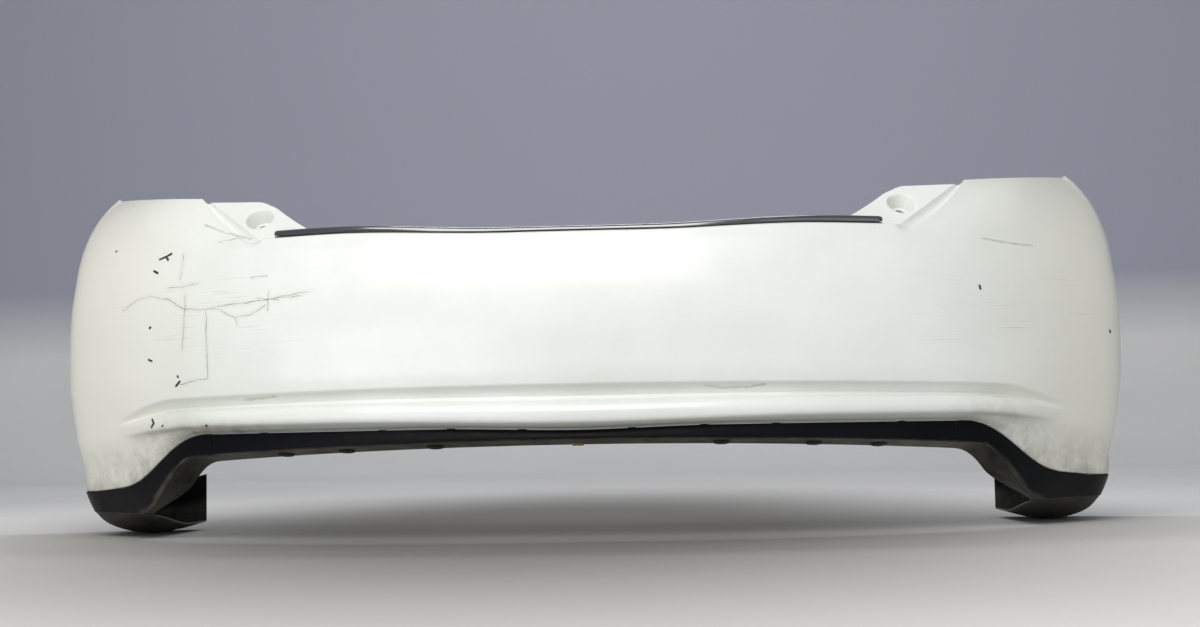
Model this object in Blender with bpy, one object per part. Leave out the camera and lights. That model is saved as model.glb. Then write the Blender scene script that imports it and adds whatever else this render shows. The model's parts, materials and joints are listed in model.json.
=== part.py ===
"""Rear bumper cover of a hatchback, with its lower trims, rubber step strip and fasteners.

X runs across the car, Y forward into the car and Z up. The zero point is the middle of the
seat under the top ledge, where the cover rests on the body. All lengths are in metres.
"""

import math

import bmesh
import bpy
from mathutils import Vector

# ---- whole cover ----
HALF_WIDTH = 0.864        # centre line to the widest point of a side
SIDE_DEPTH = 0.600        # rearmost point to where the sides are widest
SIDE_TAPER = 0.120        # the sides close in this much per metre towards the rear
REAR_POWER = 2.54         # roundness of the rear face
REAR_SWEEP = 0.206        # how far forward the rear face has swept 0.70 from the centre
CORNER_SHARPNESS = 60.0   # how tightly the rear face turns into the sides
FACE_HEIGHT = 0.279       # top ledge to the painted lower edge at the centre
WALL = 0.003              # painted cover
TRIM_WALL = 0.0025        # black lower trims
FIT_GAP = 0.0006          # between pieces that lie on each other
SEAT_FORWARD = 0.060      # seat under the ledge, ahead of the rearmost point

# ---- top ledge, rubber strip and tape ----
LEDGE_DEPTH = 0.098
LEDGE_RISE = 0.008        # the ledge climbs this much towards the ears
EDGE_INSET = 0.018        # the face leans forward this much at the ledge
STRIP_END_INSET = 0.418   # from the side in to the end of the strip
STRIP_DEPTH = 0.0125
STRIP_HEIGHT_MIDDLE = 0.0055
STRIP_HEIGHT_END = 0.0085
TAPE_THICKNESS = 0.0008
TAPE_MARGIN = 0.0020

# ---- ears, shoulders and screw cups ----
EAR_TIP_INSET = 0.498     # from the side in to the tip of the ear
EAR_FOOT_INSET = 0.400    # from the side in to the outer end of the ear's foot
EAR_TOP_INNER_INSET = 0.402
EAR_TOP_OUTER_INSET = 0.308
EAR_TOP_Z = 0.0716
EAR_CELLS = 6             # cells across and up the ear
CUP_INSET = 0.392         # from the side in to the cup
CUP_Z = 0.043
CUP_RADIUS = 0.0208
CUP_FLOOR_RADIUS = 0.0150
CUP_DEPTH = 0.022
CUP_HOLE_RADIUS = 0.0052
COLLAR_CLEARANCE = 0.0008
COLLAR_WALL = 0.0011
COLLAR_FLANGE_RADIUS = 0.0085
COLLAR_FLANGE = 0.0012
SHOULDER_START = (0.292, 0.190, 0.083)   # inner top corner: in from the side, forward, up
SHOULDER_END = (0.099, 0.380, 0.111)     # outer top corner
SHOULDER_CROWN = 0.10     # roundness of the shoulder and the side's top
SIDE_TOP_TUCK = 0.004

# ---- feature lines of the face ----
CORNER_FROM_INSET = 0.264 # the rear face starts turning into the corner here
CORNER_SPAN = 0.180       # and is turned after this much
FADE_FROM_INSET = 0.244   # the crease starts to fade here
FADE_SPAN = 0.110
EDGE_BELOW = 0.010        # the face ends this far below the ledge at the centre
EDGE_RISE = 0.004         # it ends higher under the ears
SHOULDER_CREASE_DROP = 0.022  # and lower under the shoulder
SIDE_CREASE_BELOW = 0.030     # the side's crease ends this far below the top of the arch
PAINT_RISE = 0.002
PAINT_BOW = 0.004         # the painted edge is this much lower at the centre
PAINT_BOW_SPAN = 0.200
CREASE_SAG = 0.004        # the crease falls this much towards the corner
CREASE_SAG_SPAN = 0.500
CREASE_DIP = 0.025        # and this much more in the corner
CREASE_DIP_SPAN = 0.150
RIDGE_RISE = 0.006
RIDGE_RISE_SPAN = 0.350
RIDGE_DIP = 0.011
RIDGE_DIP_INSET = 0.304
RIDGE_DIP_SPAN = 0.165
FACE_MIDDLE = 0.048       # the face stands upright this far above the crease

# ---- lean of the plain corners and sides ----
LEAN_ABOVE = 0.020
LEAN_ABOVE_Z = 0.120
LEAN_ABOVE_SPAN = 0.140
LEAN_BELOW = 0.024
LEAN_BELOW_HEIGHT = 0.089
LEAN_BELOW_SPAN = 0.160
SIDE_LEAN = 0.018         # the first side column moves outward this much as it rises
SIDE_LEAN_Z = -0.150
SIDE_LEAN_RISE = 0.120
SIDE_LEAN_BLEND = 0.160

# ---- wheel arch ----
ARCH_RADIUS = 0.370
ARCH_AHEAD = 0.270        # arch centre, ahead of the plan depth
ARCH_BELOW = 0.061        # arch centre, below the painted lower edge
ARCH_TOP_Z = -0.100
ARCH_FLANGE = 0.022
SIDE_START = 0.200        # the side panel starts this far behind the arch

# ---- lower edge and trims ----
CREASE_ABOVE = 0.0635     # feature crease above the painted lower edge
CREASE_DEPTH = 0.0165     # valley under the crease
RIDGE_ABOVE = 0.0115      # lower ridge of the bulge above the painted lower edge
CORNER_DROP = 0.078       # how much lower the painted edge is at the corners
LATE_DROP = 0.007         # and how much more it falls towards the side
LATE_DROP_INSET = 0.164
LATE_DROP_SPAN = 0.110
DROP_START_INSET = 0.319
DROP_END_INSET = 0.122
LIP_DEPTH = 0.016         # return lip of the painted lower edge
LIP_INSET = 0.016         # lean of the painted lower edge at the rear
SIDE_LIP_INSET = 0.026    # and at the sides
TRIM_FACE = 0.014         # trim height at the centre
TRIM_SAG = 0.009          # the trim's lower edge falls this much towards the corner
TRIM_SAG_SPAN = 0.440
TRIM_CORNER_DROP = 0.078
TRIM_DROP_START_INSET = 0.299
TRIM_DROP_END_INSET = 0.172
TRIM_INSET = 0.0125       # lean of the trims' lower edge at the rear
SIDE_TRIM_INSET = 0.038   # and at the sides
TRIM_EDGE_BEVEL = 0.0025
TRIM_FLANGE = 0.045
TRIM_FLANGE_SLOPE = 0.16
SEAM_INSET = 0.319        # from the side in to the joints between the trims
SEAM_GAP = 0.0010
UNDERSIDE_INNER_INSET = 0.202
UNDERSIDE_SAG = 0.034
END_WALL = 0.080

# ---- fasteners ----
CLIP_FROM_SEAM = (0.107, 0.205, 0.340)
CLIP_HOLE = 0.0090
CLIP_HOLE_FORWARD = 0.0255
CLIP_SHANK_RADIUS = 0.0037
CLIP_HEAD_RADIUS = 0.0120
CLIP_HEAD = 0.0024
CLIP_LENGTH = 0.012
PIN_RADIUS = 0.0018
PIN_HEAD_RADIUS = 0.0045
PIN_HEAD = 0.0012
BORE_CLEARANCE = 0.0005
SPRING_STEEL = 0.0010
U_CLEARANCE = 0.0005
EDGE_CLIP_WIDTH = 0.012
EDGE_CLIP_REACH = 0.0085
NUT_WIDTH = 0.016
NUT_REACH = 0.016
ARCH_NUT_REACH = 0.014
ROUND_SIDES = 12

LEDGE_CELLS = 7
SHOULDER_CELLS = 9
SIDE_CELLS = 5


def smooth(t):
    """Ease from 0 to 1."""
    t = min(max(t, 0.0), 1.0)
    return t * t * (3.0 - 2.0 * t)


def smoother(t):
    """Ease from 0 to 1 with a steeper middle."""
    t = min(max(t, 0.0), 1.0)
    return t * t * t * (t * (6.0 * t - 15.0) + 10.0)


def from_side(inset):
    return HALF_WIDTH - inset


STRIP_END = from_side(STRIP_END_INSET)
EAR_TIP = from_side(EAR_TIP_INSET)
EAR_FOOT = from_side(EAR_FOOT_INSET)
SEAM = from_side(SEAM_INSET)
CORNER_FROM = from_side(CORNER_FROM_INSET)
FADE_FROM = from_side(FADE_FROM_INSET)
SHOULDER_FIRST = EAR_FOOT + 0.012


# ---- plan curve ----
def plan_x(y):
    """Half width of the cover where it has swept forward by y."""
    rear = 0.70 * (max(y, 1e-9) / REAR_SWEEP) ** (1.0 / REAR_POWER)
    side = HALF_WIDTH - SIDE_TAPER * (SIDE_DEPTH - y)
    return (rear ** -CORNER_SHARPNESS + side ** -CORNER_SHARPNESS) ** (-1.0 / CORNER_SHARPNESS)


def plan_y(x):
    """How far the cover has swept forward at x, found by halving."""
    low, high = 0.0, 2.0 * SIDE_DEPTH
    for _ in range(40):
        middle = (low + high) / 2.0
        if plan_x(middle) < abs(x):
            low = middle
        else:
            high = middle
    return (low + high) / 2.0


def plan_normal(y):
    """Outward normal of the plan curve where it has swept forward by y."""
    step = 0.0005
    behind = max(y - step, 0.0)
    slope = (plan_x(y + step) - plan_x(behind)) / (y + step - behind)
    return Vector((1.0, -slope, 0.0)).normalized()


def arch_y(z):
    up = z + FACE_HEIGHT + ARCH_BELOW
    return SIDE_DEPTH + ARCH_AHEAD - math.sqrt(ARCH_RADIUS ** 2 - up ** 2)


SIDE_Y = SIDE_DEPTH + ARCH_AHEAD - ARCH_RADIUS - SIDE_START
SIDE_X = plan_x(SIDE_Y)
SHOULDER_CREASE_Z = EDGE_RISE - EDGE_BELOW - SHOULDER_CREASE_DROP


# ---- feature lines: height of each one at a station ----
def corner_share(s):
    """0 on the rear face, 1 once the corner is turned."""
    return smooth((s - CORNER_FROM) / CORNER_SPAN)


def ledge_z(s):
    return LEDGE_RISE * smooth((s - 0.1) / (EAR_TIP - 0.11))


def edge_z(s):
    """Upper end of the face: the ledge's edge, then the shoulder crease."""
    if s > SIDE_X:
        arch_end = ARCH_TOP_Z - SIDE_CREASE_BELOW
        return SHOULDER_CREASE_Z + (arch_end - SHOULDER_CREASE_Z) * (s - SIDE_X)
    rise = EDGE_RISE * smooth((s - EAR_TIP) / 0.1)
    fall = smooth((s - FADE_FROM) / (SIDE_X - FADE_FROM))
    return rise - EDGE_BELOW - SHOULDER_CREASE_DROP * fall


def paint_z(s):
    """Painted lower edge."""
    s = min(s, SIDE_X)
    drop = smoother((s - from_side(DROP_START_INSET)) / (DROP_START_INSET - DROP_END_INSET))
    late = smooth((s - from_side(LATE_DROP_INSET)) / LATE_DROP_SPAN)
    rise = PAINT_RISE + PAINT_BOW * smooth(s / PAINT_BOW_SPAN)
    return rise - FACE_HEIGHT - CORNER_DROP * drop - LATE_DROP * late


def crease_z(s):
    s = min(s, SIDE_X)
    sag = CREASE_SAG * (s / CREASE_SAG_SPAN) ** 2
    dip = CREASE_DIP * smooth((s - CORNER_FROM) / CREASE_DIP_SPAN)
    return CREASE_ABOVE - FACE_HEIGHT - sag - dip


def ridge_z(s):
    rise = RIDGE_RISE * smooth(s / RIDGE_RISE_SPAN)
    dip = RIDGE_DIP * smooth((s - from_side(RIDGE_DIP_INSET)) / RIDGE_DIP_SPAN)
    return RIDGE_ABOVE - FACE_HEIGHT + rise - dip


def trim_z(s):
    """Lower edge of the trims."""
    reach = min(s, from_side(TRIM_DROP_END_INSET))
    drop = smoother((s - from_side(TRIM_DROP_START_INSET))
                    / (TRIM_DROP_START_INSET - TRIM_DROP_END_INSET))
    sag = TRIM_SAG * (reach / TRIM_SAG_SPAN) ** 2
    return PAINT_RISE - FACE_HEIGHT - TRIM_FACE - sag - TRIM_CORNER_DROP * drop


def feature_strength(s):
    """The crease and the bulge fade out before the side."""
    return 1.0 - smooth((s - FADE_FROM) / FADE_SPAN)


def plain_inset(z):
    """Inset of the face where it has no crease: it leans in above and below."""
    above = max(z + LEAN_ABOVE_Z, 0.0) / LEAN_ABOVE_SPAN
    below = max(-z - (FACE_HEIGHT - LEAN_BELOW_HEIGHT), 0.0) / LEAN_BELOW_SPAN
    return LEAN_ABOVE * above ** 2 + LEAN_BELOW * below ** 1.15


def lip_inset(s):
    return LIP_INSET + (SIDE_LIP_INSET - LIP_INSET) * corner_share(s)


def face_point(s, z, inset):
    """Point of the face at station s. Past SIDE_X a station is SIDE_X plus 0 to 1 to the arch."""
    lean = SIDE_LEAN * smooth((z - SIDE_LEAN_Z) / SIDE_LEAN_RISE)
    lean *= smooth((min(s, SIDE_X) - (SIDE_X - SIDE_LEAN_BLEND)) / SIDE_LEAN_BLEND)
    x = min(s, SIDE_X) + lean
    y = plan_y(x)
    if s > SIDE_X:
        y += (arch_y(z) - y) * (s - SIDE_X)
        x = plan_x(y)
    return Vector((x, y, z)) - plan_normal(y) * inset


# ---- the upper band: ledge, ear or shoulder ----
EAR_NORMAL = Vector((0.11, -0.74, 0.67)).normalized()
EAR_FOOT_TUCK = EDGE_INSET + STRIP_DEPTH + 0.0030


def ear_point(x, z):
    """Point of the ear's plane."""
    foot = face_point(EAR_FOOT, LEDGE_RISE, EAR_FOOT_TUCK)
    dx = x - foot.x
    dz = z - foot.z
    y = foot.y - (EAR_NORMAL.x * dx + EAR_NORMAL.z * dz) / EAR_NORMAL.y
    return Vector((x, y, z))


def bezier(a, b, c, t):
    return a * (1.0 - t) ** 2 + b * 2.0 * t * (1.0 - t) + c * t * t


def ear_grid_point(u, v):
    """Point of the ear: u runs outward from its free edge, v from its foot up."""
    tip = Vector((EAR_TIP, LEDGE_RISE))
    foot = Vector((EAR_FOOT, LEDGE_RISE))
    top_in = Vector((from_side(EAR_TOP_INNER_INSET), EAR_TOP_Z))
    top_out = Vector((from_side(EAR_TOP_OUTER_INSET), EAR_TOP_Z + 0.004))
    inner = bezier(tip, tip.lerp(top_in, 0.5) + Vector((0.0045, -0.0065)), top_in, v)
    outer = foot.lerp(top_out, v)
    across = inner.lerp(outer, u)
    along = tip.lerp(foot, u).lerp(top_in.lerp(top_out, u), v)
    corners = tip.lerp(top_in, v).lerp(foot.lerp(top_out, v), u)
    flat = across + along - corners
    return ear_point(flat.x, flat.y)


def shoulder_corner(corner):
    return Vector((from_side(corner[0]), corner[1], corner[2]))


def shoulder_top(t):
    """Top edge of the shoulder: t runs 0 to 1 from beside the ear to the outer corner."""
    start, end = shoulder_corner(SHOULDER_START), shoulder_corner(SHOULDER_END)
    middle = (start + end) / 2.0 + Vector((0.010, -0.030, -0.001))
    return bezier(start, middle, end, t)


def side_top(m):
    """Top edge of the side: m runs 0 to 1 from the shoulder's outer corner to the arch."""
    start = shoulder_corner(SHOULDER_END)
    y = start.y + (arch_y(ARCH_TOP_Z) - start.y) * m
    tuck = SIDE_TOP_TUCK + (plan_x(start.y) - start.x - SIDE_TOP_TUCK) * (1.0 - m) ** 3
    z = start.z + (ARCH_TOP_Z - start.z) * m ** 1.15
    return Vector((plan_x(y) - tuck, y, z))


# share of the way from the shoulder's crease to its free edge, for each row
SHOULDER_SHARES = (1.0, 0.84, 0.68, 0.52, 0.37, 0.23, 0.12, 0.06, 0.02, 0.0)


def upper_band(s, kind):
    """Points from the free top edge down to the upper end of the face."""
    edge_inset = EDGE_INSET
    if s > CORNER_FROM:
        edge_inset += (plain_inset(edge_z(s)) - EDGE_INSET) * corner_share(s)
    edge = face_point(s, edge_z(s), edge_inset)
    if kind == "ledge" or kind == "ear":
        z = ledge_z(s)
        flat = face_point(s, z, EDGE_INSET + 0.0055)
        bend = face_point(s, z - 0.003, EDGE_INSET + 0.0015)
    if kind == "ledge":
        depths = [LEDGE_DEPTH + (0.036 - LEDGE_DEPTH) * j / EAR_CELLS for j in range(EAR_CELLS + 1)]
        return [face_point(s, z, depth) for depth in depths] + [flat, bend, edge]
    if kind == "ear":
        u = (s - EAR_TIP) / (EAR_FOOT - EAR_TIP)
        points = [ear_grid_point(u, 1.0 - j / EAR_CELLS) for j in range(EAR_CELLS + 1)]
        return points + [flat, bend, edge]
    if s <= SIDE_X:
        t = (s - SHOULDER_FIRST) / (SIDE_X - SHOULDER_FIRST)
        top = shoulder_top(t)
        flatness = 0.55 * (1.0 - smooth(t / 0.55))
    else:
        top = side_top(s - SIDE_X)
        flatness = 0.0
    outward = (plan_normal(edge.y) + Vector((0.0, 0.0, 1.0))) * 0.7
    rise = top - edge
    crown = SHOULDER_CROWN * rise.length * (1.0 - 2.2 * flatness)
    points = []
    for share in SHOULDER_SHARES:
        arch = 4.0 * share * (1.0 - share)
        points.append(edge + rise * share + outward * crown * arch)
    return points


def face_rows(s):
    """Points of the face below its upper end, down to the painted lower edge and its lip."""
    top = edge_z(s)
    crease = crease_z(s)
    ridge = ridge_z(s)
    low = paint_z(s)
    k = feature_strength(s)
    side = corner_share(s)
    middle = crease + FACE_MIDDLE
    rows = []
    for share, inset in ((0.18, 0.0110), (0.42, 0.0045), (0.70, 0.0008), (1.0, 0.0)):
        z = top + (middle - top) * share
        rows.append((z, inset + (plain_inset(z) - inset) * side))
    drop = crease - ridge
    featured = (
        (crease + 0.0080, 0.0010),
        (crease, 0.0025),
        (crease - drop * 0.28, CREASE_DEPTH),
        (crease - drop * 0.34, CREASE_DEPTH - 0.0015),
        (crease - drop * 0.52, -0.0010),
        (crease - drop * 0.85, -0.0050),
        (ridge, -0.0030),
        (ridge - 0.0040, 0.0020),
    )
    for z, inset in featured:
        rows.append((z, inset * k + plain_inset(z) * (1.0 - k)))
    half = (ridge - 0.0040 + low) / 2.0
    rows.append((half, 0.0090 * k + (plain_inset(half) + lip_inset(s)) / 2.0 * (1.0 - k)))
    rows.append((low, lip_inset(s)))
    points = [face_point(s, z, inset) for z, inset in rows]
    points.append(face_point(s, low, lip_inset(s) + LIP_DEPTH))
    return points


def cover_stations():
    """Stations of the right half, from the centre to the wheel arch, each with its kind."""
    last_ledge = EAR_TIP - 0.006
    stations = [(last_ledge * i / LEDGE_CELLS, "ledge") for i in range(LEDGE_CELLS + 1)]
    for i in range(EAR_CELLS + 1):
        stations.append((EAR_TIP + (EAR_FOOT - EAR_TIP) * i / EAR_CELLS, "ear"))
    for i in range(SHOULDER_CELLS + 1):
        s = SHOULDER_FIRST + (SIDE_X - SHOULDER_FIRST) * i / SHOULDER_CELLS
        stations.append((s, "shoulder"))
    for i in range(SIDE_CELLS):
        stations.append((SIDE_X + (i + 1) / SIDE_CELLS, "side"))
    return stations


STATIONS = cover_stations()


# ---- making meshes ----
def to_part_frame(point):
    """Move a point so that the seat under the ledge is at zero."""
    return Vector((point.x, point.y - SEAT_FORWARD, point.z + WALL))


def mirrored(point):
    return Vector((-point.x, point.y, point.z))


def finish_object(name, bm, material, smooth_angle=None):
    mesh = bpy.data.meshes.new(name)
    bm.to_mesh(mesh)
    bm.free()
    mesh.materials.append(material)
    if smooth_angle is not None:
        mesh.shade_smooth()
        mesh.set_sharp_from_angle(angle=smooth_angle)
    obj = bpy.data.objects.new(name, mesh)
    bpy.context.scene.collection.objects.link(obj)
    return obj


def make_material(name, colour, roughness, metallic=0.0):
    material = bpy.data.materials.new(name)
    material.use_nodes = True
    shader = material.node_tree.nodes["Principled BSDF"]
    shader.inputs["Base Color"].default_value = (*colour, 1.0)
    shader.inputs["Roughness"].default_value = roughness
    shader.inputs["Metallic"].default_value = metallic
    return material


def sheet_object(name, columns, skip, material, wall, extra=()):
    """A sheet from columns of points, given its wall thickness on the inner side.

    skip(i, j) says which cells stay open, and extra lists further loops of faces.
    """
    bm = bmesh.new()
    verts = {}

    def vert(point):
        key = tuple(round(c, 7) for c in point)
        if key not in verts:
            verts[key] = bm.verts.new(to_part_frame(point))
        return verts[key]

    for i in range(len(columns) - 1):
        left, right = columns[i], columns[i + 1]
        for j in range(min(len(left), len(right)) - 1):
            if skip(i, j):
                continue
            if left[j] is None or right[j] is None or left[j + 1] is None or right[j + 1] is None:
                continue
            bm.faces.new([vert(left[j]), vert(left[j + 1]), vert(right[j + 1]), vert(right[j])])
    for quad in extra:
        bm.faces.new([vert(point) for point in quad])
    obj = finish_object(name, bm, material, math.radians(35))
    solid = obj.modifiers.new("wall", "SOLIDIFY")
    solid.thickness = wall
    solid.offset = -1.0
    solid.use_even_offset = True
    solid.use_quality_normals = True
    return obj


def ring_quads(rings):
    """Quads between successive closed rings of points."""
    quads = []
    for outer, inner in zip(rings, rings[1:]):
        count = len(outer)
        for i in range(count):
            k = (i + 1) % count
            quads.append([outer[i], outer[k], inner[k], inner[i]])
    return quads


def cup_centre():
    return ear_point(from_side(CUP_INSET), CUP_Z)


def cup_axes():
    """Two axes in the ear's plane."""
    along = Vector((1.0, 0.0, 0.0))
    along = (along - EAR_NORMAL * along.dot(EAR_NORMAL)).normalized()
    return along, EAR_NORMAL.cross(along)


def cup_rings():
    """Rings of the screw cup, from the border of the ear in to the screw hole."""
    n = EAR_CELLS
    border = [(i, 0) for i in range(n)] + [(n, j) for j in range(n)]
    border += [(n - i, n) for i in range(n)] + [(0, n - j) for j in range(n)]
    outer = [ear_grid_point(i / n, j / n) for i, j in border]
    centre = cup_centre()
    along, across = cup_axes()
    angles = []
    for point in outer:
        offset = point - centre
        angles.append(math.atan2(offset.dot(across), offset.dot(along)))
    rings = [outer]
    for radius, depth in (
        (CUP_RADIUS + 0.0012, 0.0),
        (CUP_RADIUS, 0.0012),
        (CUP_FLOOR_RADIUS, CUP_DEPTH),
        (CUP_HOLE_RADIUS, CUP_DEPTH),
    ):
        ring = []
        for angle in angles:
            in_plane = along * math.cos(angle) + across * math.sin(angle)
            ring.append(centre + in_plane * radius - EAR_NORMAL * depth)
        rings.append(ring)
    return rings


def arch_flange_column(column, first_row, width):
    """The edge column moved inward to make the wheel arch flange."""
    points = []
    for j, point in enumerate(column):
        if j < first_row or j == len(column) - 1:
            points.append(None)
            continue
        points.append(point - plan_normal(point.y) * width + Vector((0.0, 0.0015, 0.0)))
    return points


def right_half_cover():
    columns = []
    for s, kind in STATIONS:
        columns.append(upper_band(s, kind) + face_rows(s))
    edge = columns[-1]
    columns.append(arch_flange_column(edge, 0, 0.005))
    columns.append(arch_flange_column(edge, 0, ARCH_FLANGE))
    return columns


def both_sides(columns):
    """Columns of the whole width from those of the right half."""
    left = [[None if p is None else mirrored(p) for p in column] for column in columns[:0:-1]]
    return left + columns


def make_bumper_cover(material):
    half = right_half_cover()
    columns = both_sides(half)
    middle = len(half) - 1
    ear_first = LEDGE_CELLS + 1
    ear_last = ear_first + EAR_CELLS

    def skip(i, j):
        cell = i - middle if i >= middle else middle - 1 - i
        in_ear = ear_first <= cell < ear_last and j < EAR_CELLS
        in_notch = cell == ear_first - 1 and j < EAR_CELLS
        return in_ear or in_notch

    quads = ring_quads(cup_rings())
    left_quads = [[mirrored(p) for p in reversed(quad)] for quad in quads]
    return sheet_object("bumper_cover", columns, skip, material, WALL, quads + left_quads)


# ---- lower trims ----
def underside_target(s):
    """Inner end of the trim's underside at a station past the drop."""
    start = from_side(UNDERSIDE_INNER_INSET)
    front_span = SIDE_X - start
    reach = s - start if s <= SIDE_X else front_span + (s - SIDE_X) * 0.20
    share = min(max(reach / (front_span + 0.20), 0.0), 1.0)
    y = plan_y(start) + TRIM_FLANGE + 0.005
    end_y = arch_y(trim_z(SIDE_X)) + 0.022
    return Vector((start, y + (end_y - y) * share, 0.0))


# the underside's section: share of the way inward, and how much of the sag it has
UNDERSIDE_SECTION = ((0.10, 0.62), (0.33, 1.00), (0.70, 1.00), (1.00, 0.62))


def trim_column(s):
    """Section of the trims: top wing, face, lower edge and underside."""
    paint = paint_z(s)
    low = trim_z(s)
    lip = lip_inset(s)
    low_inset = TRIM_INSET + (SIDE_TRIM_INSET - TRIM_INSET) * corner_share(s)
    start = low_inset + TRIM_EDGE_BEVEL
    wing = paint - FIT_GAP
    points = [
        face_point(s, wing, lip + LIP_DEPTH),
        face_point(s, wing, lip + 0.0015),
        face_point(s, wing - 0.0015, lip),
        face_point(s, (wing + low) / 2.0, (lip + low_inset) / 2.0),
        face_point(s, low + TRIM_EDGE_BEVEL, low_inset),
        face_point(s, low, start),
    ]
    hole = start + CLIP_HOLE_FORWARD
    insets = (start + 0.008, hole - CLIP_HOLE / 2.0, hole + CLIP_HOLE / 2.0, start + TRIM_FLANGE)
    blend = smooth((s - FADE_FROM) / 0.060)
    edge = points[-1]
    target = underside_target(s)
    for inset, (share, belly) in zip(insets, UNDERSIDE_SECTION):
        flange = face_point(s, low - TRIM_FLANGE_SLOPE * (inset - start), inset)
        panel = edge + (target - edge) * share
        deep = smooth((panel.y - SIDE_Y + 0.08) / 0.220)
        panel.z = low - 0.004 * share - UNDERSIDE_SAG * deep * belly
        points.append(flange.lerp(panel, blend))
    return points


def column_between(a, b, share):
    """Column on the straight facets between two others."""
    out = []
    for p, q in zip(a, b):
        out.append(None if p is None or q is None else p.lerp(q, share))
    return out


def trim_stations():
    """Columns of the right half of the trims, on the same stations as the cover."""
    return [(s, trim_column(s)) for s, kind in STATIONS]


def cut_at(pairs, position):
    """Column at a station between two listed ones."""
    for (s0, a), (s1, b) in zip(pairs, pairs[1:]):
        if s0 <= position <= s1:
            return (position, column_between(a, b, (position - s0) / (s1 - s0)))
    raise ValueError("the station lies outside the trim")


def clip_stations():
    return [SEAM - distance for distance in CLIP_FROM_SEAM]


def make_trim_centre(material):
    pairs = trim_stations()
    end = cut_at(pairs, SEAM - SEAM_GAP / 2.0)
    half = [pair for pair in pairs if pair[0] < SEAM - 0.004]
    holes = []
    for centre in clip_stations():
        holes.append((centre - CLIP_HOLE / 2.0, centre + CLIP_HOLE / 2.0))
        half = [p for p in half if not holes[-1][0] - 0.002 < p[0] < holes[-1][1] + 0.002]
    half += [cut_at(pairs, edge) for hole in holes for edge in hole]
    half = sorted(half + [end], key=lambda pair: pair[0])
    stations = [s for s, column in half]
    columns = both_sides([column for s, column in half])
    middle = len(half) - 1
    hole_starts = [stations.index(low) for low, high in holes]

    def skip(i, j):
        cell = i - middle if i >= middle else middle - 1 - i
        return j == 7 and cell in hole_starts

    return sheet_object("lower_trim_centre", columns, skip, material, TRIM_WALL)


def end_wall_column(column, rise):
    """Closing wall of the underside at the wheel arch."""
    return [None] * 7 + [p + Vector((0.0, 0.0015, rise)) for p in column[7:]]


def make_trim_corner(name, sign, material):
    pairs = trim_stations()
    start = cut_at(pairs, SEAM + SEAM_GAP / 2.0)
    columns = [start[1]] + [column for s, column in pairs if s > SEAM + 0.004]
    last = columns[-1]
    columns.append(end_wall_column(last, 0.004))
    columns.append(end_wall_column(last, END_WALL * 0.5))
    columns.append(end_wall_column(last, END_WALL))
    if sign < 0:
        columns = both_sides([None] + columns)[: len(columns)]
    return sheet_object(name, columns, lambda i, j: False, material, TRIM_WALL)


# ---- strip and tape ----
def strip_object(name, material, base, height_at, margin, rounded):
    """A bar along the ledge's edge, from one strip end to the other."""
    stations = [s for s, kind in STATIONS if s < STRIP_END - 0.008]
    stations += [STRIP_END - 0.004, STRIP_END]
    stations = [s - margin * s / STRIP_END for s in stations]
    half = []
    for s in stations:
        z = ledge_z(s) + base
        top = z + height_at(s)
        near = EDGE_INSET + 0.0015 + margin + (0.003 if s == stations[-1] and rounded else 0.0)
        far = EDGE_INSET + 0.0015 + STRIP_DEPTH - margin
        far -= 0.003 if s == stations[-1] and rounded else 0.0
        chamfer = 0.0012 if rounded else 0.0
        ring = [
            face_point(s, z, near),
            face_point(s, top - chamfer, near),
        ]
        if rounded:
            ring.append(face_point(s, top, near + chamfer))
            ring.append(face_point(s, top, far - chamfer))
        ring += [face_point(s, top - chamfer, far), face_point(s, z, far)]
        half.append(ring)
    rings = both_sides(half)
    bm = bmesh.new()
    loops = [[bm.verts.new(to_part_frame(p)) for p in ring] for ring in rings]
    for a, b in zip(loops, loops[1:]):
        count = len(a)
        for i in range(count):
            k = (i + 1) % count
            bm.faces.new([a[i], a[k], b[k], b[i]])
    bm.faces.new(loops[0][::-1])
    bm.faces.new(loops[-1])
    bmesh.ops.recalc_face_normals(bm, faces=bm.faces)
    return finish_object(name, bm, material, math.radians(35))


def strip_height(s):
    return STRIP_HEIGHT_MIDDLE + (STRIP_HEIGHT_END - STRIP_HEIGHT_MIDDLE) * smooth(s / STRIP_END)


# ---- turned and folded fasteners ----
def turned_object(name, profile, centre, axis, material, closed=True):
    """Solid turned about an axis: profile is (radius, height) pairs, top to bottom outside."""
    axis = axis.normalized()
    side = Vector((1.0, 0.0, 0.0))
    side = (side - axis * side.dot(axis)).normalized()
    other = axis.cross(side)
    bm = bmesh.new()
    rings = []
    for radius, height in profile:
        if radius == 0.0:
            rings.append([bm.verts.new(axis * height)])
            continue
        ring = []
        for i in range(ROUND_SIDES):
            angle = 2.0 * math.pi * i / ROUND_SIDES
            ring.append(bm.verts.new((side * math.cos(angle) + other * math.sin(angle)) * radius
                                     + axis * height))
        rings.append(ring)
    pairs = list(zip(rings, rings[1:]))
    if closed:
        pairs.append((rings[-1], rings[0]))
    for a, b in pairs:
        for i in range(ROUND_SIDES):
            k = (i + 1) % ROUND_SIDES
            corners = [a[i % len(a)], a[k % len(a)], b[k % len(b)], b[i % len(b)]]
            unique = list(dict.fromkeys(corners))
            bm.faces.new(unique)
    bmesh.ops.recalc_face_normals(bm, faces=bm.faces)
    obj = finish_object(name, bm, material, math.radians(40))
    obj.location = to_part_frame(centre)
    return obj


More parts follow.
